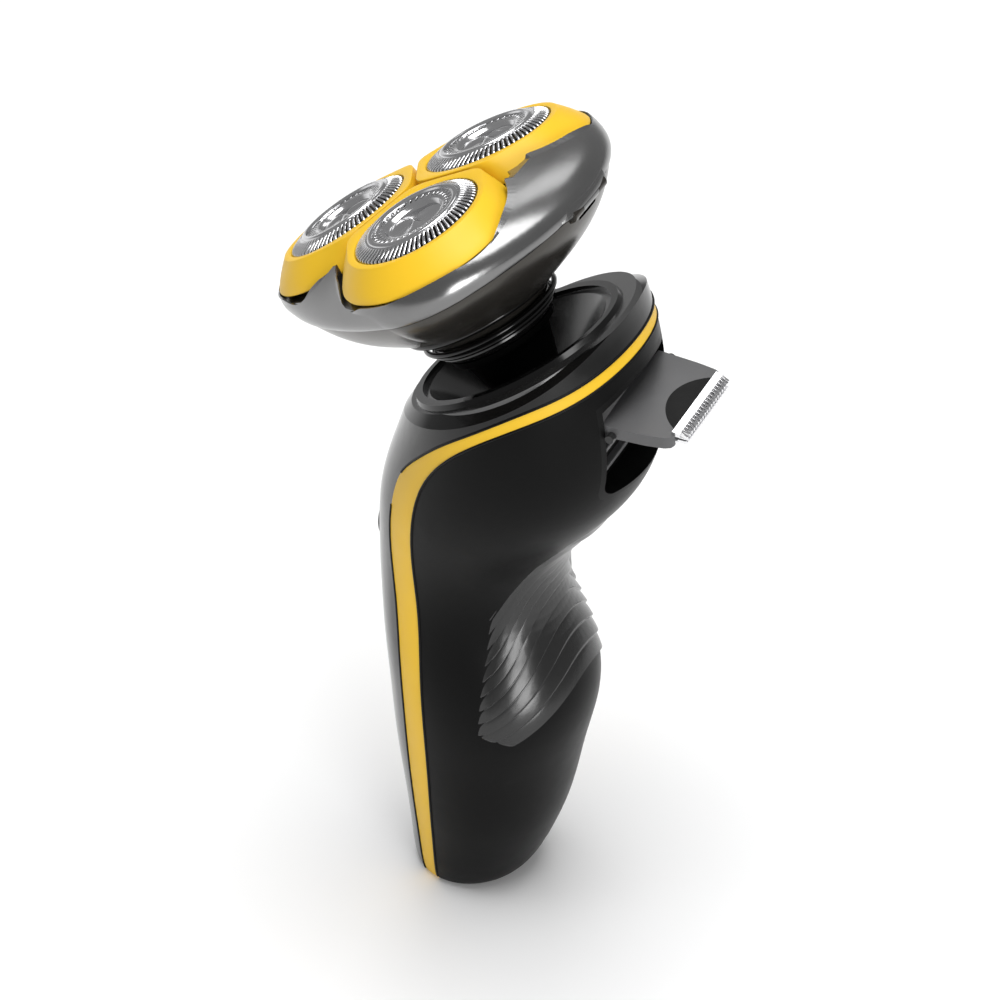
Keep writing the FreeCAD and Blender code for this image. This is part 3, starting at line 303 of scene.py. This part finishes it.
def piece(name, points, faces, body, slot, place=None, sharp=SHARP_ANGLE):
    """A shown piece: its points in mm in a local frame, the body it rides and its finish."""
    mesh = bpy.data.meshes.new(name)
    to_frame = (place or Matrix.Identity(4)) @ Matrix.Scale(MM, 4)
    mesh.from_pydata([to_frame @ Vector(p) for p in points], [], faces)
    mesh.validate()
    mesh.update()
    mesh.shade_smooth()
    mesh.set_sharp_from_angle(angle=sharp)
    mesh.materials.append(FINISHES[slot])
    shown = bpy.data.objects.new(name, mesh)
    SCENE.collection.objects.link(shown)
    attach(shown, body)
    return shown


# %% [markdown]
# ## The foils
#
# A foil is a cap of thin steel, pressed into a shallow dome and then slotted right
# through so that hairs can fall in: a ring of seventy-two slots runs over the rim and a
# little way down the side. Inside it sits a polished ring, then a sunken centre pressed
# into three soft vanes. Cutting slots with booleans is slow and leaves ragged shading, so
# the sheet is made as a grid of narrow bars and gaps, and the gaps are simply left out
# before the sheet is given its thickness.

# %% One slotted foil
SLOTS = 72
BAR_SHARE = 0.54
SLOT_SLANT = math.radians(5.0)
FOIL_THICK = 0.28
VANE_HEIGHT = 0.55
# (radius, height) from the lower edge over the rim to the polished ring
FOIL_RIM = [
    (12.25, -3.1), (12.25, -2.0), (12.25, -1.1), (12.18, -0.62), (11.95, -0.36), (11.6, -0.2),
    (10.8, 0.12), (9.75, 0.5),
]
# the polished ring, the band of small inner slots and the sunken centre
FOIL_RINGS = [
    (9.5, 0.58), (9.42, 0.50), (9.2, 0.50), (9.1, 0.74), (8.95, 0.84), (8.3, 0.88), (8.15, 0.80),
    (8.05, 0.46), (7.9, 0.40),
]
FOIL_INNER = [(7.8, 0.40), (6.5, 0.34)]
FOIL_CENTRE = [
    (6.2, 0.32), (5.75, 0.20), (5.45, -0.25), (5.2, -0.5), (4.7, -0.6), (4.0, -0.62), (3.2, -0.6),
    (2.4, -0.5), (1.6, -0.42), (0.9, -0.38), (0.35, -0.36),
]
FIRST_SLOT_ROW, LAST_SLOT_ROW = 1, 7
# the vanes rise over this middle radius and fade out from there to the wall
VANE_RISE, VANE_WALL, VANE_FADE = 1.2, 5.3, 1.6
# the slots start to slant inside this radius, and the angle above is reached over this run
SLANT_FROM, SLANT_RUN = 12.0, 3.0


def vane(radius, angle):
    """How far the pressed centre rises: three broad vanes that fade to the wall."""
    fade = max(0.0, min(1.0, (VANE_WALL - radius) / VANE_FADE)) * min(1.0, radius / VANE_RISE)
    return VANE_HEIGHT * fade * (0.5 + 0.5 * math.cos(3 * angle)) ** 2


def foil_sheet():
    """Points and faces of one slotted sheet."""
    rows = FOIL_RIM + FOIL_RINGS + FOIL_INNER + FOIL_CENTRE
    inner_row = len(FOIL_RIM) + len(FOIL_RINGS)
    pitch = 2 * math.pi / SLOTS
    columns = 2 * SLOTS
    points = []
    for radius, height in rows:
        slant = SLOT_SLANT * max(0.0, SLANT_FROM - radius) / SLANT_RUN
        for column in range(columns):
            angle = pitch * (column // 2 + (BAR_SHARE if column % 2 else 0.0)) + slant
            rise = vane(radius, angle)
            points.append((radius * math.cos(angle), radius * math.sin(angle), height + rise))
    faces = []
    for face in grid_faces(len(rows), columns):
        row, column = face[0] // columns, face[0] % columns
        gap = column % 2 == 1
        rim_slot = FIRST_SLOT_ROW <= row < LAST_SLOT_ROW
        inner_slot = row == inner_row and column % 4 == 1
        if gap and (rim_slot or inner_slot):
            continue
        faces.append(face)
    faces.append(tuple((len(rows) - 1) * columns + c for c in range(columns)))
    return points, faces


foil_points, foil_faces = foil_sheet()
for lobe in LOBES:
    foil = piece(
        f"foil_detail_{lobe}", foil_points, foil_faces, f"petal_unit_{lobe}", "foil_steel", DISC[lobe],
    )
    wall = foil.modifiers.new("thickness", "SOLIDIFY")
    wall.thickness = FOIL_THICK * MM
    wall.offset = -1
    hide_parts(f"foil_{lobe}")
print("foil bars:", SLOTS, "faces:", len(foil_faces))

# %% [markdown]
# ## The petals
#
# Each petal is a moulded yellow frame that floats under its own foil. Its top is flat
# beside its neighbours, but on the outside it slopes away so the skin glides over it. The
# outline is a round lobe outside and two straight flanks that run in to meet the
# neighbours along narrow gaps. A polar grid about the foil gives all of it in one piece:
# for every direction we ask how far the top reaches and how far the foot reaches, then
# hang one rounded profile between the two.

# %% Three yellow petals
PETAL_STEPS = 288
TOP_REACH = 13.9
FOOT_REACH, FOOT_BIAS = 17.45, 0.75
FOOT_BEYOND_TOP = 0.02
# the foot is tucked in on the flank facing the back, over these degrees round from outward
BACK_TUCK, TUCK_FROM, TUCK_OVER = 1.0, 35, 30
# the flank of each petal that faces the back of the head: +1 left of the lobe, -1 right
BACK_FLANK = {"back_right": 1, "back_left": -1, "front": 0}
GAP_REACH, GAP_DIRECTIONS = 14.22, (150, 210)
BLEND_POWER = 14
# the profile in four runs: the bore as (reach, height), the top's rounded rim as (inside
# the top's reach, height), the slope as (share of the way, bulge) and the rounded foot as
# (inside the foot's reach, height)
PETAL_BORE = [(12.42, -2.6), (12.42, -0.75), (12.50, -0.58), (12.72, -0.50)]
PETAL_RIM = [(0.30, -0.50), (0.10, -0.54), (0.0, -0.66)]
PETAL_SLOPE = [(0.25, 0.16), (0.5, 0.22), (0.75, 0.16), (0.93, 0.05)]
SLOPE_TOP, SLOPE_DROP = -0.66, 4.4
PETAL_FOOT = [(0.0, -5.25), (0.06, -5.45), (0.3, -5.55), (1.1, -5.55)]
UNDERSIDE_LEAST, UNDERSIDE_INSET, UNDERSIDE_HEIGHT = 13.3, 0.9, -2.6


def soft_least(*values):
    """The least of some reaches, with its corners rounded."""
    return sum(v ** -BLEND_POWER for v in values) ** (-1 / BLEND_POWER)


def outline(reach, angle):
    """Reach of a lobe with straight flanks, cut off by the gaps to its neighbours."""
    limits = [reach if math.cos(angle) >= 0 else reach / max(0.02, abs(math.sin(angle)))]
    for gap in GAP_DIRECTIONS:
        facing = math.cos(angle - math.radians(gap))
        if facing > 0.05:
            limits.append(GAP_REACH / facing)
    return soft_least(*limits)


def smooth_step(value):
    """A soft ramp from 0 to 1."""
    value = max(0.0, min(1.0, value))
    return value * value * (3 - 2 * value)


def foot_reach(angle, back_flank):
    """How far the foot reaches: longest outward, tucked in on the flank facing the back."""
    turn = math.degrees(math.atan2(math.sin(angle), math.cos(angle))) * back_flank
    tuck = BACK_TUCK * smooth_step((turn - TUCK_FROM) / TUCK_OVER)
    return FOOT_REACH + FOOT_BIAS * math.cos(angle) - tuck


def round_points(rows, angles):
    """Points from rings of (reach, height), one pair for every direction."""
    return [(r * math.cos(a), r * math.sin(a), z) for row in rows for a, (r, z) in zip(angles, row)]


def petal_points(back_flank):
    """Closed profile rings of one petal, in its disc's frame."""
    angles = [2 * math.pi * i / PETAL_STEPS for i in range(PETAL_STEPS)]
    top = [outline(TOP_REACH, a) for a in angles]
    foot = [
        max(t + FOOT_BEYOND_TOP, outline(foot_reach(a, back_flank), a)) for a, t in zip(angles, top)
    ]
    rows = [[ring] * PETAL_STEPS for ring in PETAL_BORE]
    rows += [[(t - inset, z) for t in top] for inset, z in PETAL_RIM]
    for share, bulge in PETAL_SLOPE:
        height = SLOPE_TOP - SLOPE_DROP * share
        rows.append([(t + (f - t) * share + bulge * min(1, f - t), height) for t, f in zip(top, foot)])
    rows += [[(f - inset, z) for f in foot] for inset, z in PETAL_FOOT]
    rows.append([(max(UNDERSIDE_LEAST, t - UNDERSIDE_INSET), UNDERSIDE_HEIGHT) for t in top])
    return round_points(rows, angles), len(rows)


for lobe in LOBES:
    petal_grid, petal_rows = petal_points(BACK_FLANK[lobe])
    petal_faces = grid_faces(petal_rows, PETAL_STEPS, wrap_rows=True)
    name, body = f"petal_detail_{lobe}", f"petal_unit_{lobe}"
    shown = piece(name, petal_grid, petal_faces, body, "yellow_gloss", DISC[lobe])
    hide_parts(f"petal_{lobe}")
print("petal rings:", petal_rows)

# %% [markdown]
# ## The lips of the pockets
#
# The petals sit in round pockets of the head shell with only a hair of air round them. The
# working shell keeps a wider pocket so that nothing can jam; here a thin lip narrows the
# gap. It grows out of the shell's own edge: at each direction we feel for the skin just
# outside the pocket and run it inwards to the petal, then turn it down. Where a run of lip
# ends, it tapers back into the pocket's wall.

# %% Feel for the shell's skin
POCKET_RADIUS = 18.6
SKIN_LOWEST = -7.5
FEEL_FROM = 6.0


def surface_tree(node):
    """A search tree over a working part's faces."""
    mesh = frame["nodes"][node].data
    places = [v.co.copy() for v in mesh.vertices]
    return BVHTree.FromPolygons(places, [tuple(p.vertices) for p in mesh.polygons])


def skin_height(tree, place, radius, angle):
    """Height of the skin at a polar place over a disc's frame, or None."""
    high = place @ Vector((radius * math.cos(angle) * MM, radius * math.sin(angle) * MM, FEEL_FROM * MM))
    hit, _, _, _ = tree.ray_cast(high, -(place.to_3x3() @ Vector((0, 0, 1))))
    if hit is None:
        return None
    height = (place.inverted() @ hit).z / MM
    return height if height > SKIN_LOWEST else None


upper_tree = surface_tree("upper_shell")

# %% Lips grown from the shell's edge
LIP_GAP = 0.42
LIP_STEPS = 360
# how far round from outward a lip may stand, in degrees; the least width in mm and the
# least length in steps that are worth a lip
LIP_END, LIP_NARROWEST, LIP_SHORTEST = 108, 0.1, 8
# the skin is felt at these two distances outside the pocket; the nearer one is the lip's root
FEEL_NEAR, FEEL_FAR = 0.12, 0.62
LIP_ROOT = POCKET_RADIUS + FEEL_NEAR
# the skin is carried on inwards at its own slope, up to this slope and this rise
STEEPEST, HIGHEST = 1.2, 1.1
# steps over which an end tapers, and how far inside the pocket's wall it stops
LIP_TAPER, TAPER_SHY = 14, 0.06
# the section: how far its root lies under the skin, its rounded edge and its depth
LIP_SUNK, EDGE_WIDE, EDGE_FALL, EDGE_DEEP, LIP_DEEP = 0.015, 0.18, 0.02, 0.2, 1.6


def lip_strips(tree, place, back_flank):
    """Open strips of lip: runs of directions where the skin stands beside the pocket."""
    strips, run = [], []
    for step in range(LIP_STEPS + 1):
        angle = math.radians(-180 + step)
        near = skin_height(tree, place, LIP_ROOT, angle)
        far = skin_height(tree, place, POCKET_RADIUS + FEEL_FAR, angle)
        reach = outline(foot_reach(angle, back_flank), angle) + LIP_GAP
        narrow = reach > POCKET_RADIUS - LIP_NARROWEST
        if near is None or far is None or narrow or abs(math.degrees(angle)) > LIP_END:
            if len(run) > LIP_SHORTEST:
                strips.append(run)
            run = []
            continue
        slope = max(-STEEPEST, min(STEEPEST, (near - far) / (FEEL_FAR - FEEL_NEAR)))
        inner = min(near + slope * (LIP_ROOT - reach), near + HIGHEST)
        run.append((angle, reach, inner, near))
    return strips


def tapered(strip):
    """The strip with its inner edge run out to the pocket's wall at both ends."""
    shaped = []
    for i, (angle, reach, inner, near) in enumerate(strip):
        fade = 1 - smooth_step(min(i, len(strip) - 1 - i) / LIP_TAPER)
        reach += (POCKET_RADIUS - TAPER_SHY - reach) * fade
        inner += (near - inner) * fade
        shaped.append((angle, reach, inner, near))
    return shaped


def lip_solid(strip):
    """Points and faces of one lip: five lines along it, and a face at each end."""
    rows = [
        [(LIP_ROOT, near - LIP_SUNK) for _, _, _, near in strip],
        [(reach + EDGE_WIDE, inner - EDGE_FALL) for _, reach, inner, _ in strip],
        [(reach, inner - EDGE_DEEP) for _, reach, inner, _ in strip],
        [(reach, inner - LIP_DEEP) for _, reach, inner, _ in strip],
        [(LIP_ROOT, near - LIP_DEEP) for _, _, _, near in strip],
    ]
    faces = grid_faces(len(rows), len(strip), wrap_rows=True, wrap_columns=False)
    faces.append(tuple(row * len(strip) for row in range(len(rows))))
    faces.append(tuple(row * len(strip) + len(strip) - 1 for row in reversed(range(len(rows)))))
    return round_points(rows, [angle for angle, _, _, _ in strip]), faces


lip_count = 0
for lobe in LOBES:
    for strip in lip_strips(upper_tree, DISC[lobe], BACK_FLANK[lobe]):
        name = f"pocket_lip_{lobe}_{lip_count}"
        piece(name, *lip_solid(tapered(strip)), "head_top", "head_gunmetal", DISC[lobe])
        lip_count += 1
print("pocket lips:", lip_count)

# %% [markdown]
# ### A sill where the skin runs low
#
# On the outward side of each petal the skin dips, and the pocket is open under the petal's
# foot. A thin sill stands against the pocket's wall there and narrows the gap. It is
# lowest at its two ends, so that it starts from almost nothing.

# %% Three sills
# half its length in degrees; radii; lowest level, least height and how much it rises
SILL_HALF, SILL_STEPS = 66, 96
SILL_IN, SILL_OUT = 18.32, 18.62
SILL_LOW, SILL_LEAST, SILL_RISE = -6.9, 0.1, 1.3
SILL_ENDS = 4
for lobe in LOBES:
    points = []
    for step in range(SILL_STEPS + 1):
        share = 2 * step / SILL_STEPS - 1
        angle = math.radians(SILL_HALF * share)
        top = SILL_LOW + SILL_LEAST + SILL_RISE * smooth_step((1 - abs(share)) * SILL_ENDS)
        section = [(SILL_IN, SILL_LOW), (SILL_OUT, SILL_LOW), (SILL_OUT, top), (SILL_IN, top)]
        points += round_points([section], [angle] * len(section))
    faces = grid_faces(SILL_STEPS + 1, 4) + [(3, 2, 1, 0), tuple(4 * SILL_STEPS + i for i in range(4))]
    piece(f"pocket_sill_{lobe}", points, faces, "head_top", "head_gunmetal", DISC[lobe])

# %% [markdown]
# ## A blister over the hinge
#
# The head opens on a small hinge at its back. Its knuckles would catch the eye, so the
# shell carries a low blister over them that fades into the skin at both ends. It turns
# with the upper shell and stays clear of the lower one.

# %% The hinge blister
HINGE_Y, PARTING = 32.0, 12.0
BLISTER_HALF, BLISTER_FLAT = 10.6, 7.2
BLISTER_SINK, BLISTER_SWEEP = 1.9, 0.012
BLISTER_STEPS = 48
# (out from the hinge's axis, up from it), round the section
BLISTER_SECTION = [
    (1.26, 0.02), (1.38, 0.06), (1.46, 0.35), (1.50, 0.8), (1.50, 1.3), (1.42, 1.9), (1.22, 2.5),
    (0.9, 2.5), (1.0, 1.5), (1.28, 0.7),
]
blister = []
for step in range(BLISTER_STEPS + 1):
    x = BLISTER_HALF * (2 * step / BLISTER_STEPS - 1)
    sink = BLISTER_SINK * smooth_step((abs(x) - BLISTER_FLAT) / (BLISTER_HALF - BLISTER_FLAT))
    sink += BLISTER_SWEEP * x * x
    blister += [(x, HINGE_Y + out - sink, up - PARTING) for out, up in BLISTER_SECTION]
section = len(BLISTER_SECTION)
blister_faces = grid_faces(BLISTER_STEPS + 1, section)
blister_faces.append(tuple(reversed(range(section))))
blister_faces.append(tuple(BLISTER_STEPS * section + i for i in range(section)))
piece("hinge_blister", blister, blister_faces, "head_top", "head_gunmetal", HEAD)

# %% [markdown]
# ## The ribbed grip
#
# The waist at the back is where the fingers close, so the moulder cut eleven ledges
# round it: each band swells outward as it comes down, steps back in at its lower edge
# and rises steeply from the side of the handle to its back. The bands have to lie on a
# surface that pinches and bulges, so we do what a toolmaker does with a template: press a
# fine grid against the casing from all sides, then lift each point by the height of its
# ledge. Smooth curves through a few measured places give the grip its two slanted edges.

# %% Ledges pressed on to the casing
casing_tree = surface_tree("rear_casing")
BANDS = 11
BAND_LEAST, BAND_LIFT = 0.04, 0.5
# a ledge swells over this share of its band, on this curve, then steps in over the next
LEDGE_SWELL, LEDGE_CURVE, LEDGE_STEP = 0.84, 0.8, 0.10
# (degrees round from the back, lower edge, upper edge)
GRIP_EDGES = [
    (88, 41.5, 71.0), (65, 45.0, 80.0), (50, 48.0, 88.5), (35, 50.0, 93.0), (20, 53.0, 95.5),
    (0, 55.5, 96.5),
]
GRIP_HALF = 88
# the patch runs under the skin: its own thickness, and how deep it dips where it fades out
SKIN_UNDER, FADE_UNDER = 0.7, 0.12
# how it fades: forward over a length in mm, down and up over one part in so many of its height
FADE_AHEAD, FADE_LENGTH, FADE_LOW, FADE_HIGH = 0.2, 2.6, 60, 14
GRIP_ROWS, GRIP_COLUMNS = 240, 120
# in metres: how far back the handle's axis lies, and a distance from it outside every skin
HANDLE_AXIS_Y, OUTSIDE = 0.006, 0.06
# how far forward the bands reach, as (height, front-to-back place of their ends)
GRIP_ENDS = [
    (40.0, 21.0), (45.0, 18.0), (48.5, 10.4), (74.0, 10.6), (79.0, 13.4), (86.0, 18.0), (92.0, 23.6),
    (95.0, 26.0),
]


def between(table, at):
    """Straight-line reading of a small table."""
    return float(np.interp(at, [row[0] for row in table], [row[1] for row in table]))


def ledge(share):
    """Height of a band's face, from 0 at its top to its lower step."""
    if share < LEDGE_SWELL:
        return (share / LEDGE_SWELL) ** LEDGE_CURVE
    return max(0.0, 1 - (share - LEDGE_SWELL) / LEDGE_STEP)


def touch_casing(direction, height):
    """Point and outward normal where a level ray from the middle leaves the casing."""
    ray = Vector(direction)
    start = Vector((0, HANDLE_AXIS_Y, height * MM)) + ray * OUTSIDE
    place, normal, _, _ = casing_tree.ray_cast(start, -ray)
    return place, normal


def grip_grid():
    """Outer and inner grid of the bands, from the lower edge up."""
    turns = [math.sin(math.radians(row[0])) ** 2 for row in GRIP_EDGES]
    low_curve = np.polyfit(turns, [row[1] for row in GRIP_EDGES], 2)
    high_curve = np.polyfit(turns, [row[2] for row in GRIP_EDGES], 2)
    outer, inner = [], []
    for row in range(GRIP_ROWS + 1):
        share_up = row / GRIP_ROWS
        for column in range(GRIP_COLUMNS + 1):
            turn = math.radians(-GRIP_HALF + 2 * GRIP_HALF * column / GRIP_COLUMNS)
            low = float(np.polyval(low_curve, math.sin(turn) ** 2))
            high = float(np.polyval(high_curve, math.sin(turn) ** 2))
            height = low + (high - low) * share_up
            direction = (math.sin(turn), math.cos(turn), 0)
            place, normal = touch_casing(direction, height)
            band = (1 - share_up) * BANDS
            end = between(GRIP_ENDS, height)
            inside = smooth_step((place.y / MM - end + FADE_AHEAD) / FADE_LENGTH)
            edge_low = smooth_step(share_up * FADE_LOW)
            edge_high = smooth_step((1 - share_up) * FADE_HIGH)
            cover = inside * edge_low * edge_high
            lift = cover * (BAND_LEAST + BAND_LIFT * ledge(band % 1.0)) - (1 - cover) * FADE_UNDER
            outer.append((place + normal * lift * MM) / MM)
            inner.append((place - normal * SKIN_UNDER * MM) / MM)
    return outer, inner


def closed_patch(outer, inner, rows, columns):
    """A patch with thickness: outer and inner grid and the four edge strips."""
    count = len(outer)
    faces = grid_faces(rows, columns, wrap_columns=False)
    faces += [tuple(reversed([v + count for v in face])) for face in faces]
    border = list(range(columns))
    border += [r * columns + columns - 1 for r in range(1, rows)]
    border += [(rows - 1) * columns + c for c in range(columns - 2, -1, -1)]
    border += [r * columns for r in range(rows - 2, 0, -1)]
    for a, b in zip(border, border[1:] + border[:1]):
        faces.append((b, a, a + count, b + count))
    return outer + inner, faces


grip_outer, grip_inner = grip_grid()
grip_points, grip_faces = closed_patch(grip_outer, grip_inner, GRIP_ROWS + 1, GRIP_COLUMNS + 1)
grip = piece("grip_bands", grip_points, grip_faces, "handle", "collar_black", sharp=math.radians(50))
grip.data.materials[0] = finish("grip_satin_smoke", (0.040, 0.040, 0.040), 0.24, "moulded", 0.01, metal=0.6)
print("grip bands:", BANDS, "faces:", len(grip_faces))

# %% [markdown]
# ## The trimmer's flap
#
# The trimmer pops out of the back on a thin graphite flap, slightly crowned across and
# rounded off towards its tip. A black crescent is let into it behind the comb. Both are
# crowned sheets with one thickness, so one helper makes them: it asks for a place for
# every share of the way along and across, and raises the place to the crown.

# %% A slim flap with its black crescent
TRIMMER_TOP = 124.6
FLAP_THICK = 2.3
FLAP_CROWN, CROWN_HALF = 0.7, 12.8
# (distance back, half width there)
FLAP_SIDES = [(31.9, 12.7), (40.0, 12.1), (43.6, 11.5), (44.7, 10.9), (45.0, 10.2)]
# the crescent: its arc's centre and radius, half its width, its straight edge, thickness, rise
CRESCENT_CENTRE, CRESCENT_RADIUS, CRESCENT_HALF = 50.2, 10.5, 8.4
CRESCENT_EDGE, CRESCENT_THICK, CRESCENT_RISE = 44.6, 0.5, 0.03


def flap_top(x):
    """The flap is slightly crowned across its width."""
    return TRIMMER_TOP - FLAP_CROWN * (x / CROWN_HALF) ** 2


def flap_patch(rows, columns, place, thick, rise):
    """A crowned plate: place gives X and Y for a share along and a share across."""
    upper = []
    for row in range(rows):
        for column in range(columns):
            x, y = place(row / (rows - 1), 2 * column / (columns - 1) - 1)
            upper.append((x, y, flap_top(x) + rise))
    return closed_patch(upper, [(x, y, z - thick) for x, y, z in upper], rows, columns)


def on_flap(along, across):
    """A place on the flap."""
    y = FLAP_SIDES[0][0] + (FLAP_SIDES[-1][0] - FLAP_SIDES[0][0]) * along
    return across * between(FLAP_SIDES, y), y


def on_crescent(along, across):
    """A place on the crescent."""
    x = across * CRESCENT_HALF
    y = CRESCENT_CENTRE - math.sqrt(CRESCENT_RADIUS ** 2 - x * x)
    return x, y + (CRESCENT_EDGE - y) * along


flap_sheet = flap_patch(40, 33, on_flap, FLAP_THICK, 0.0)
flap = piece("flap_plate", *flap_sheet, "trimmer", "flap_grey")
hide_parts("trimmer_flap")
crescent_sheet = flap_patch(12, 49, on_crescent, CRESCENT_THICK, CRESCENT_RISE)
crescent = piece("flap_crescent", *crescent_sheet, "trimmer", "bay_black")
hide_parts("trimmer_inset")
print("flap faces:", len(flap.data.polygons))

# %% [markdown]
# ### Its bright edge
#
# The flap ends in a bright steel comb. Its plate lies over the edge of the crescent, and
# twenty fine teeth run on from it, bent slightly down to meet the moving blade
# underneath. The comb is blanked from strip and folded, so we make it the same way: one
# flat bar, and a row of identical wedge-shaped teeth.

# %% Comb plate and teeth
COMB_HALF = 10.1
COMB_ROOT, COMB_TIP, TOOTH_TIP = 44.3, 45.9, 47.2
COMB_RISE, COMB_UNDER = 0.14, 0.75
COMB_TEETH, TOOTH_PITCH, TOOTH_HALF = 20, 0.98, 0.24
TOOTH_DROP, TOOTH_THINNED, TOOTH_ROOTED = 0.7, 0.3, 0.1
COMB_EDGE = 0.06


def prism(x, y, low, high):
    """A six-sided block; low and high each give two heights, so it may slope along Y."""
    points = [(x[i], y[j], (low, high)[k][j]) for k in (0, 1) for j in (0, 1) for i in (0, 1)]
    faces = [(0, 2, 3, 1), (4, 5, 7, 6), (0, 1, 5, 4), (2, 6, 7, 3), (0, 4, 6, 2), (1, 3, 7, 5)]
    return points, faces


def joined(blocks):
    """Several blocks as one list of points and faces."""
    points, faces = [], []
    for block_points, block_faces in blocks:
        start = len(points)
        points += block_points
        faces += [tuple(v + start for v in face) for face in block_faces]
    return points, faces


comb_high = TRIMMER_TOP + COMB_RISE
comb_low = TRIMMER_TOP - COMB_UNDER
plate_sides = (-COMB_HALF, COMB_HALF), (COMB_ROOT, COMB_TIP)
blocks = [prism(*plate_sides, (comb_low, comb_low), (comb_high, comb_high))]
tooth_low = comb_low, comb_low - TOOTH_DROP + TOOTH_THINNED
tooth_high = comb_high, comb_high - TOOTH_DROP
for i in range(COMB_TEETH):
    x = TOOTH_PITCH * (i - (COMB_TEETH - 1) / 2)
    tooth_sides = (x - TOOTH_HALF, x + TOOTH_HALF), (COMB_TIP - TOOTH_ROOTED, TOOTH_TIP)
    blocks.append(prism(*tooth_sides, tooth_low, tooth_high))
comb_points, comb_faces = joined(blocks)
comb = piece("comb_plate", comb_points, comb_faces, "trimmer", "blade_steel")
softened = comb.modifiers.new("soft_edges", "BEVEL")
softened.width = COMB_EDGE * MM
softened.segments = 2
print("comb teeth:", COMB_TEETH)

# %% [markdown]
# ## Rails in the trimmer's bay
#
# Two low rails run across the floor of the bay. They stiffen its thin floor and keep the
# folded flap from rattling. A moulder gets them for nothing: a groove in the core pin
# leaves a rail on the part.

# %% Two rails across the bay
BAY_FLOOR = 30.4
RAIL_HALF = 12.6
RAIL_HEIGHTS = (111.2, 115.6)
RAIL_ROOT, RAIL_RISE, RAIL_THICK = 0.3, 1.3, 0.9
RAIL_EDGE = 0.2
rail_sides = (-RAIL_HALF, RAIL_HALF), (BAY_FLOOR - RAIL_ROOT, BAY_FLOOR + RAIL_RISE)
rails = joined([
    prism(*rail_sides, (z, z), (z + RAIL_THICK, z + RAIL_THICK)) for z in RAIL_HEIGHTS
])
rail = piece("bay_rails", *rails, "handle", "flap_grey")
softened = rail.modifiers.new("soft_edges", "BEVEL")
softened.width = RAIL_EDGE * MM
softened.segments = 3
print("rails:", len(RAIL_HEIGHTS))

# %% [markdown]
# ## Rings under the head
#
# Where the head swivels on its neck, a stack of rounded rings closes the gap, like the
# folds of a bellows. They are turned shapes: one profile, spun round the neck's axis.

# %% A turned stack of rings
RING_STEPS, BEAD_STEPS = 128, 14


def turned(profile):
    """A closed ring from a profile of (radius, height) corners."""
    angles = [2 * math.pi * step / RING_STEPS for step in range(RING_STEPS)]
    points = round_points([[corner] * RING_STEPS for corner in profile], angles)
    return points, grid_faces(len(profile), RING_STEPS, wrap_rows=True)


def bead_profile(radius, height, thick):
    """A round bead's section."""
    angles = [2 * math.pi * i / BEAD_STEPS for i in range(BEAD_STEPS)]
    return [(radius + thick * math.cos(a), height + thick * math.sin(a)) for a in angles]


# (radius, depth, thickness, the body each ring moves with)
RINGS = [
    (15.0, 23.9, 0.75, "head_base"),
    (13.3, 27.1, 0.55, "neck_collar"),
    (12.2, 28.4, 0.55, "neck_collar"),
]
for i, (radius, depth, thick, body) in enumerate(RINGS):
    piece(f"neck_ring_{i}", *turned(bead_profile(radius, -depth, thick)), body, "gloss_black", HEAD)
print("neck rings:", len(RINGS))

# %% [markdown]
# ## Painted shadow lines beside the stripe
#
# Where the yellow band meets the black covers there is a hair-thin shadow gap. It is too
# narrow to model as a real slot and too visible to leave out, so we find the band's own
# outer corners and lay a fine black bead along them: a painted shadow that stands in for
# the shade inside the gap.

# %% Painted shadow lines found on the band itself
SHADOW_LINE_RADIUS = 0.26
CORNER = math.radians(48)
# a corner counts when a side of it faces outward this squarely, this far above the foot (in
# metres), and when its chain has more than so many points
FACES_OUT, ABOVE_FOOT, SHORTEST_SHADOW_LINE = 0.45, 0.0008, 12


def outer_corner_lines(node):
    """Chains of points along the sharp outer corners of a CAD node, in metres."""
    mesh = node.data
    weld = {}
    index = []
    for vertex in mesh.vertices:
        key = tuple(round(c, 6) for c in vertex.co)
        index.append(weld.setdefault(key, len(weld)))
    places = [Vector(key) for key in weld]
    sides = {}
    for polygon in mesh.polygons:
        ring = [index[v] for v in polygon.vertices]
        for a, b in zip(ring, ring[1:] + ring[:1]):
            if a != b:
                sides.setdefault((min(a, b), max(a, b)), []).append(polygon.normal.copy())
    links = {}
    for (a, b), normals in sides.items():
        if len(normals) != 2 or normals[0].angle(normals[1], 0) < CORNER:
            continue
        middle = (places[a] + places[b]) / 2
        outward = Vector((middle.x, middle.y - HANDLE_AXIS_Y, 0)).normalized()
        if max(n.dot(outward) for n in normals) > FACES_OUT and middle.z > ABOVE_FOOT:
            links.setdefault(a, []).append(b)
            links.setdefault(b, []).append(a)
    lines, used = [], set()
    for start in sorted(links, key=lambda k: len(links[k])):
        if start in used:
            continue
        line = [start]
        used.add(start)
        while True:
            following = [n for n in links[line[-1]] if n not in used]
            if not following:
                break
            line.append(following[0])
            used.add(following[0])
        if len(line) > SHORTEST_SHADOW_LINE:
            lines.append([places[i] for i in line])
    return lines


def bead(name, lines, radius, body, slot):
    """A fine round bead along some lines."""
    curve = bpy.data.curves.new(name, "CURVE")
    curve.dimensions = "3D"
    curve.bevel_depth = radius * MM
    curve.bevel_resolution = 2
    for line in lines:
        spline = curve.splines.new("POLY")
        spline.points.add(len(line) - 1)
        for point, place in zip(spline.points, line):
            point.co = (*place, 1)
    curve.materials.append(FINISHES[slot])
    shown = bpy.data.objects.new(name, curve)
    SCENE.collection.objects.link(shown)
    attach(shown, body)
    return shown


stripe_lines = outer_corner_lines(frame["nodes"]["accent_stripe"])
for line in stripe_lines:
    ends = [[round(c / MM) for c in place] for place in (line[0], line[-1])]
    print("seam of", len(line), "points, from", ends[0], "to", ends[1])
# the black bead is painted shadow: it stands in for the shade in the thin gaps beside the stripe
bead("stripe_painted_shadow_lines", stripe_lines, SHADOW_LINE_RADIUS, "handle", "bay_black")
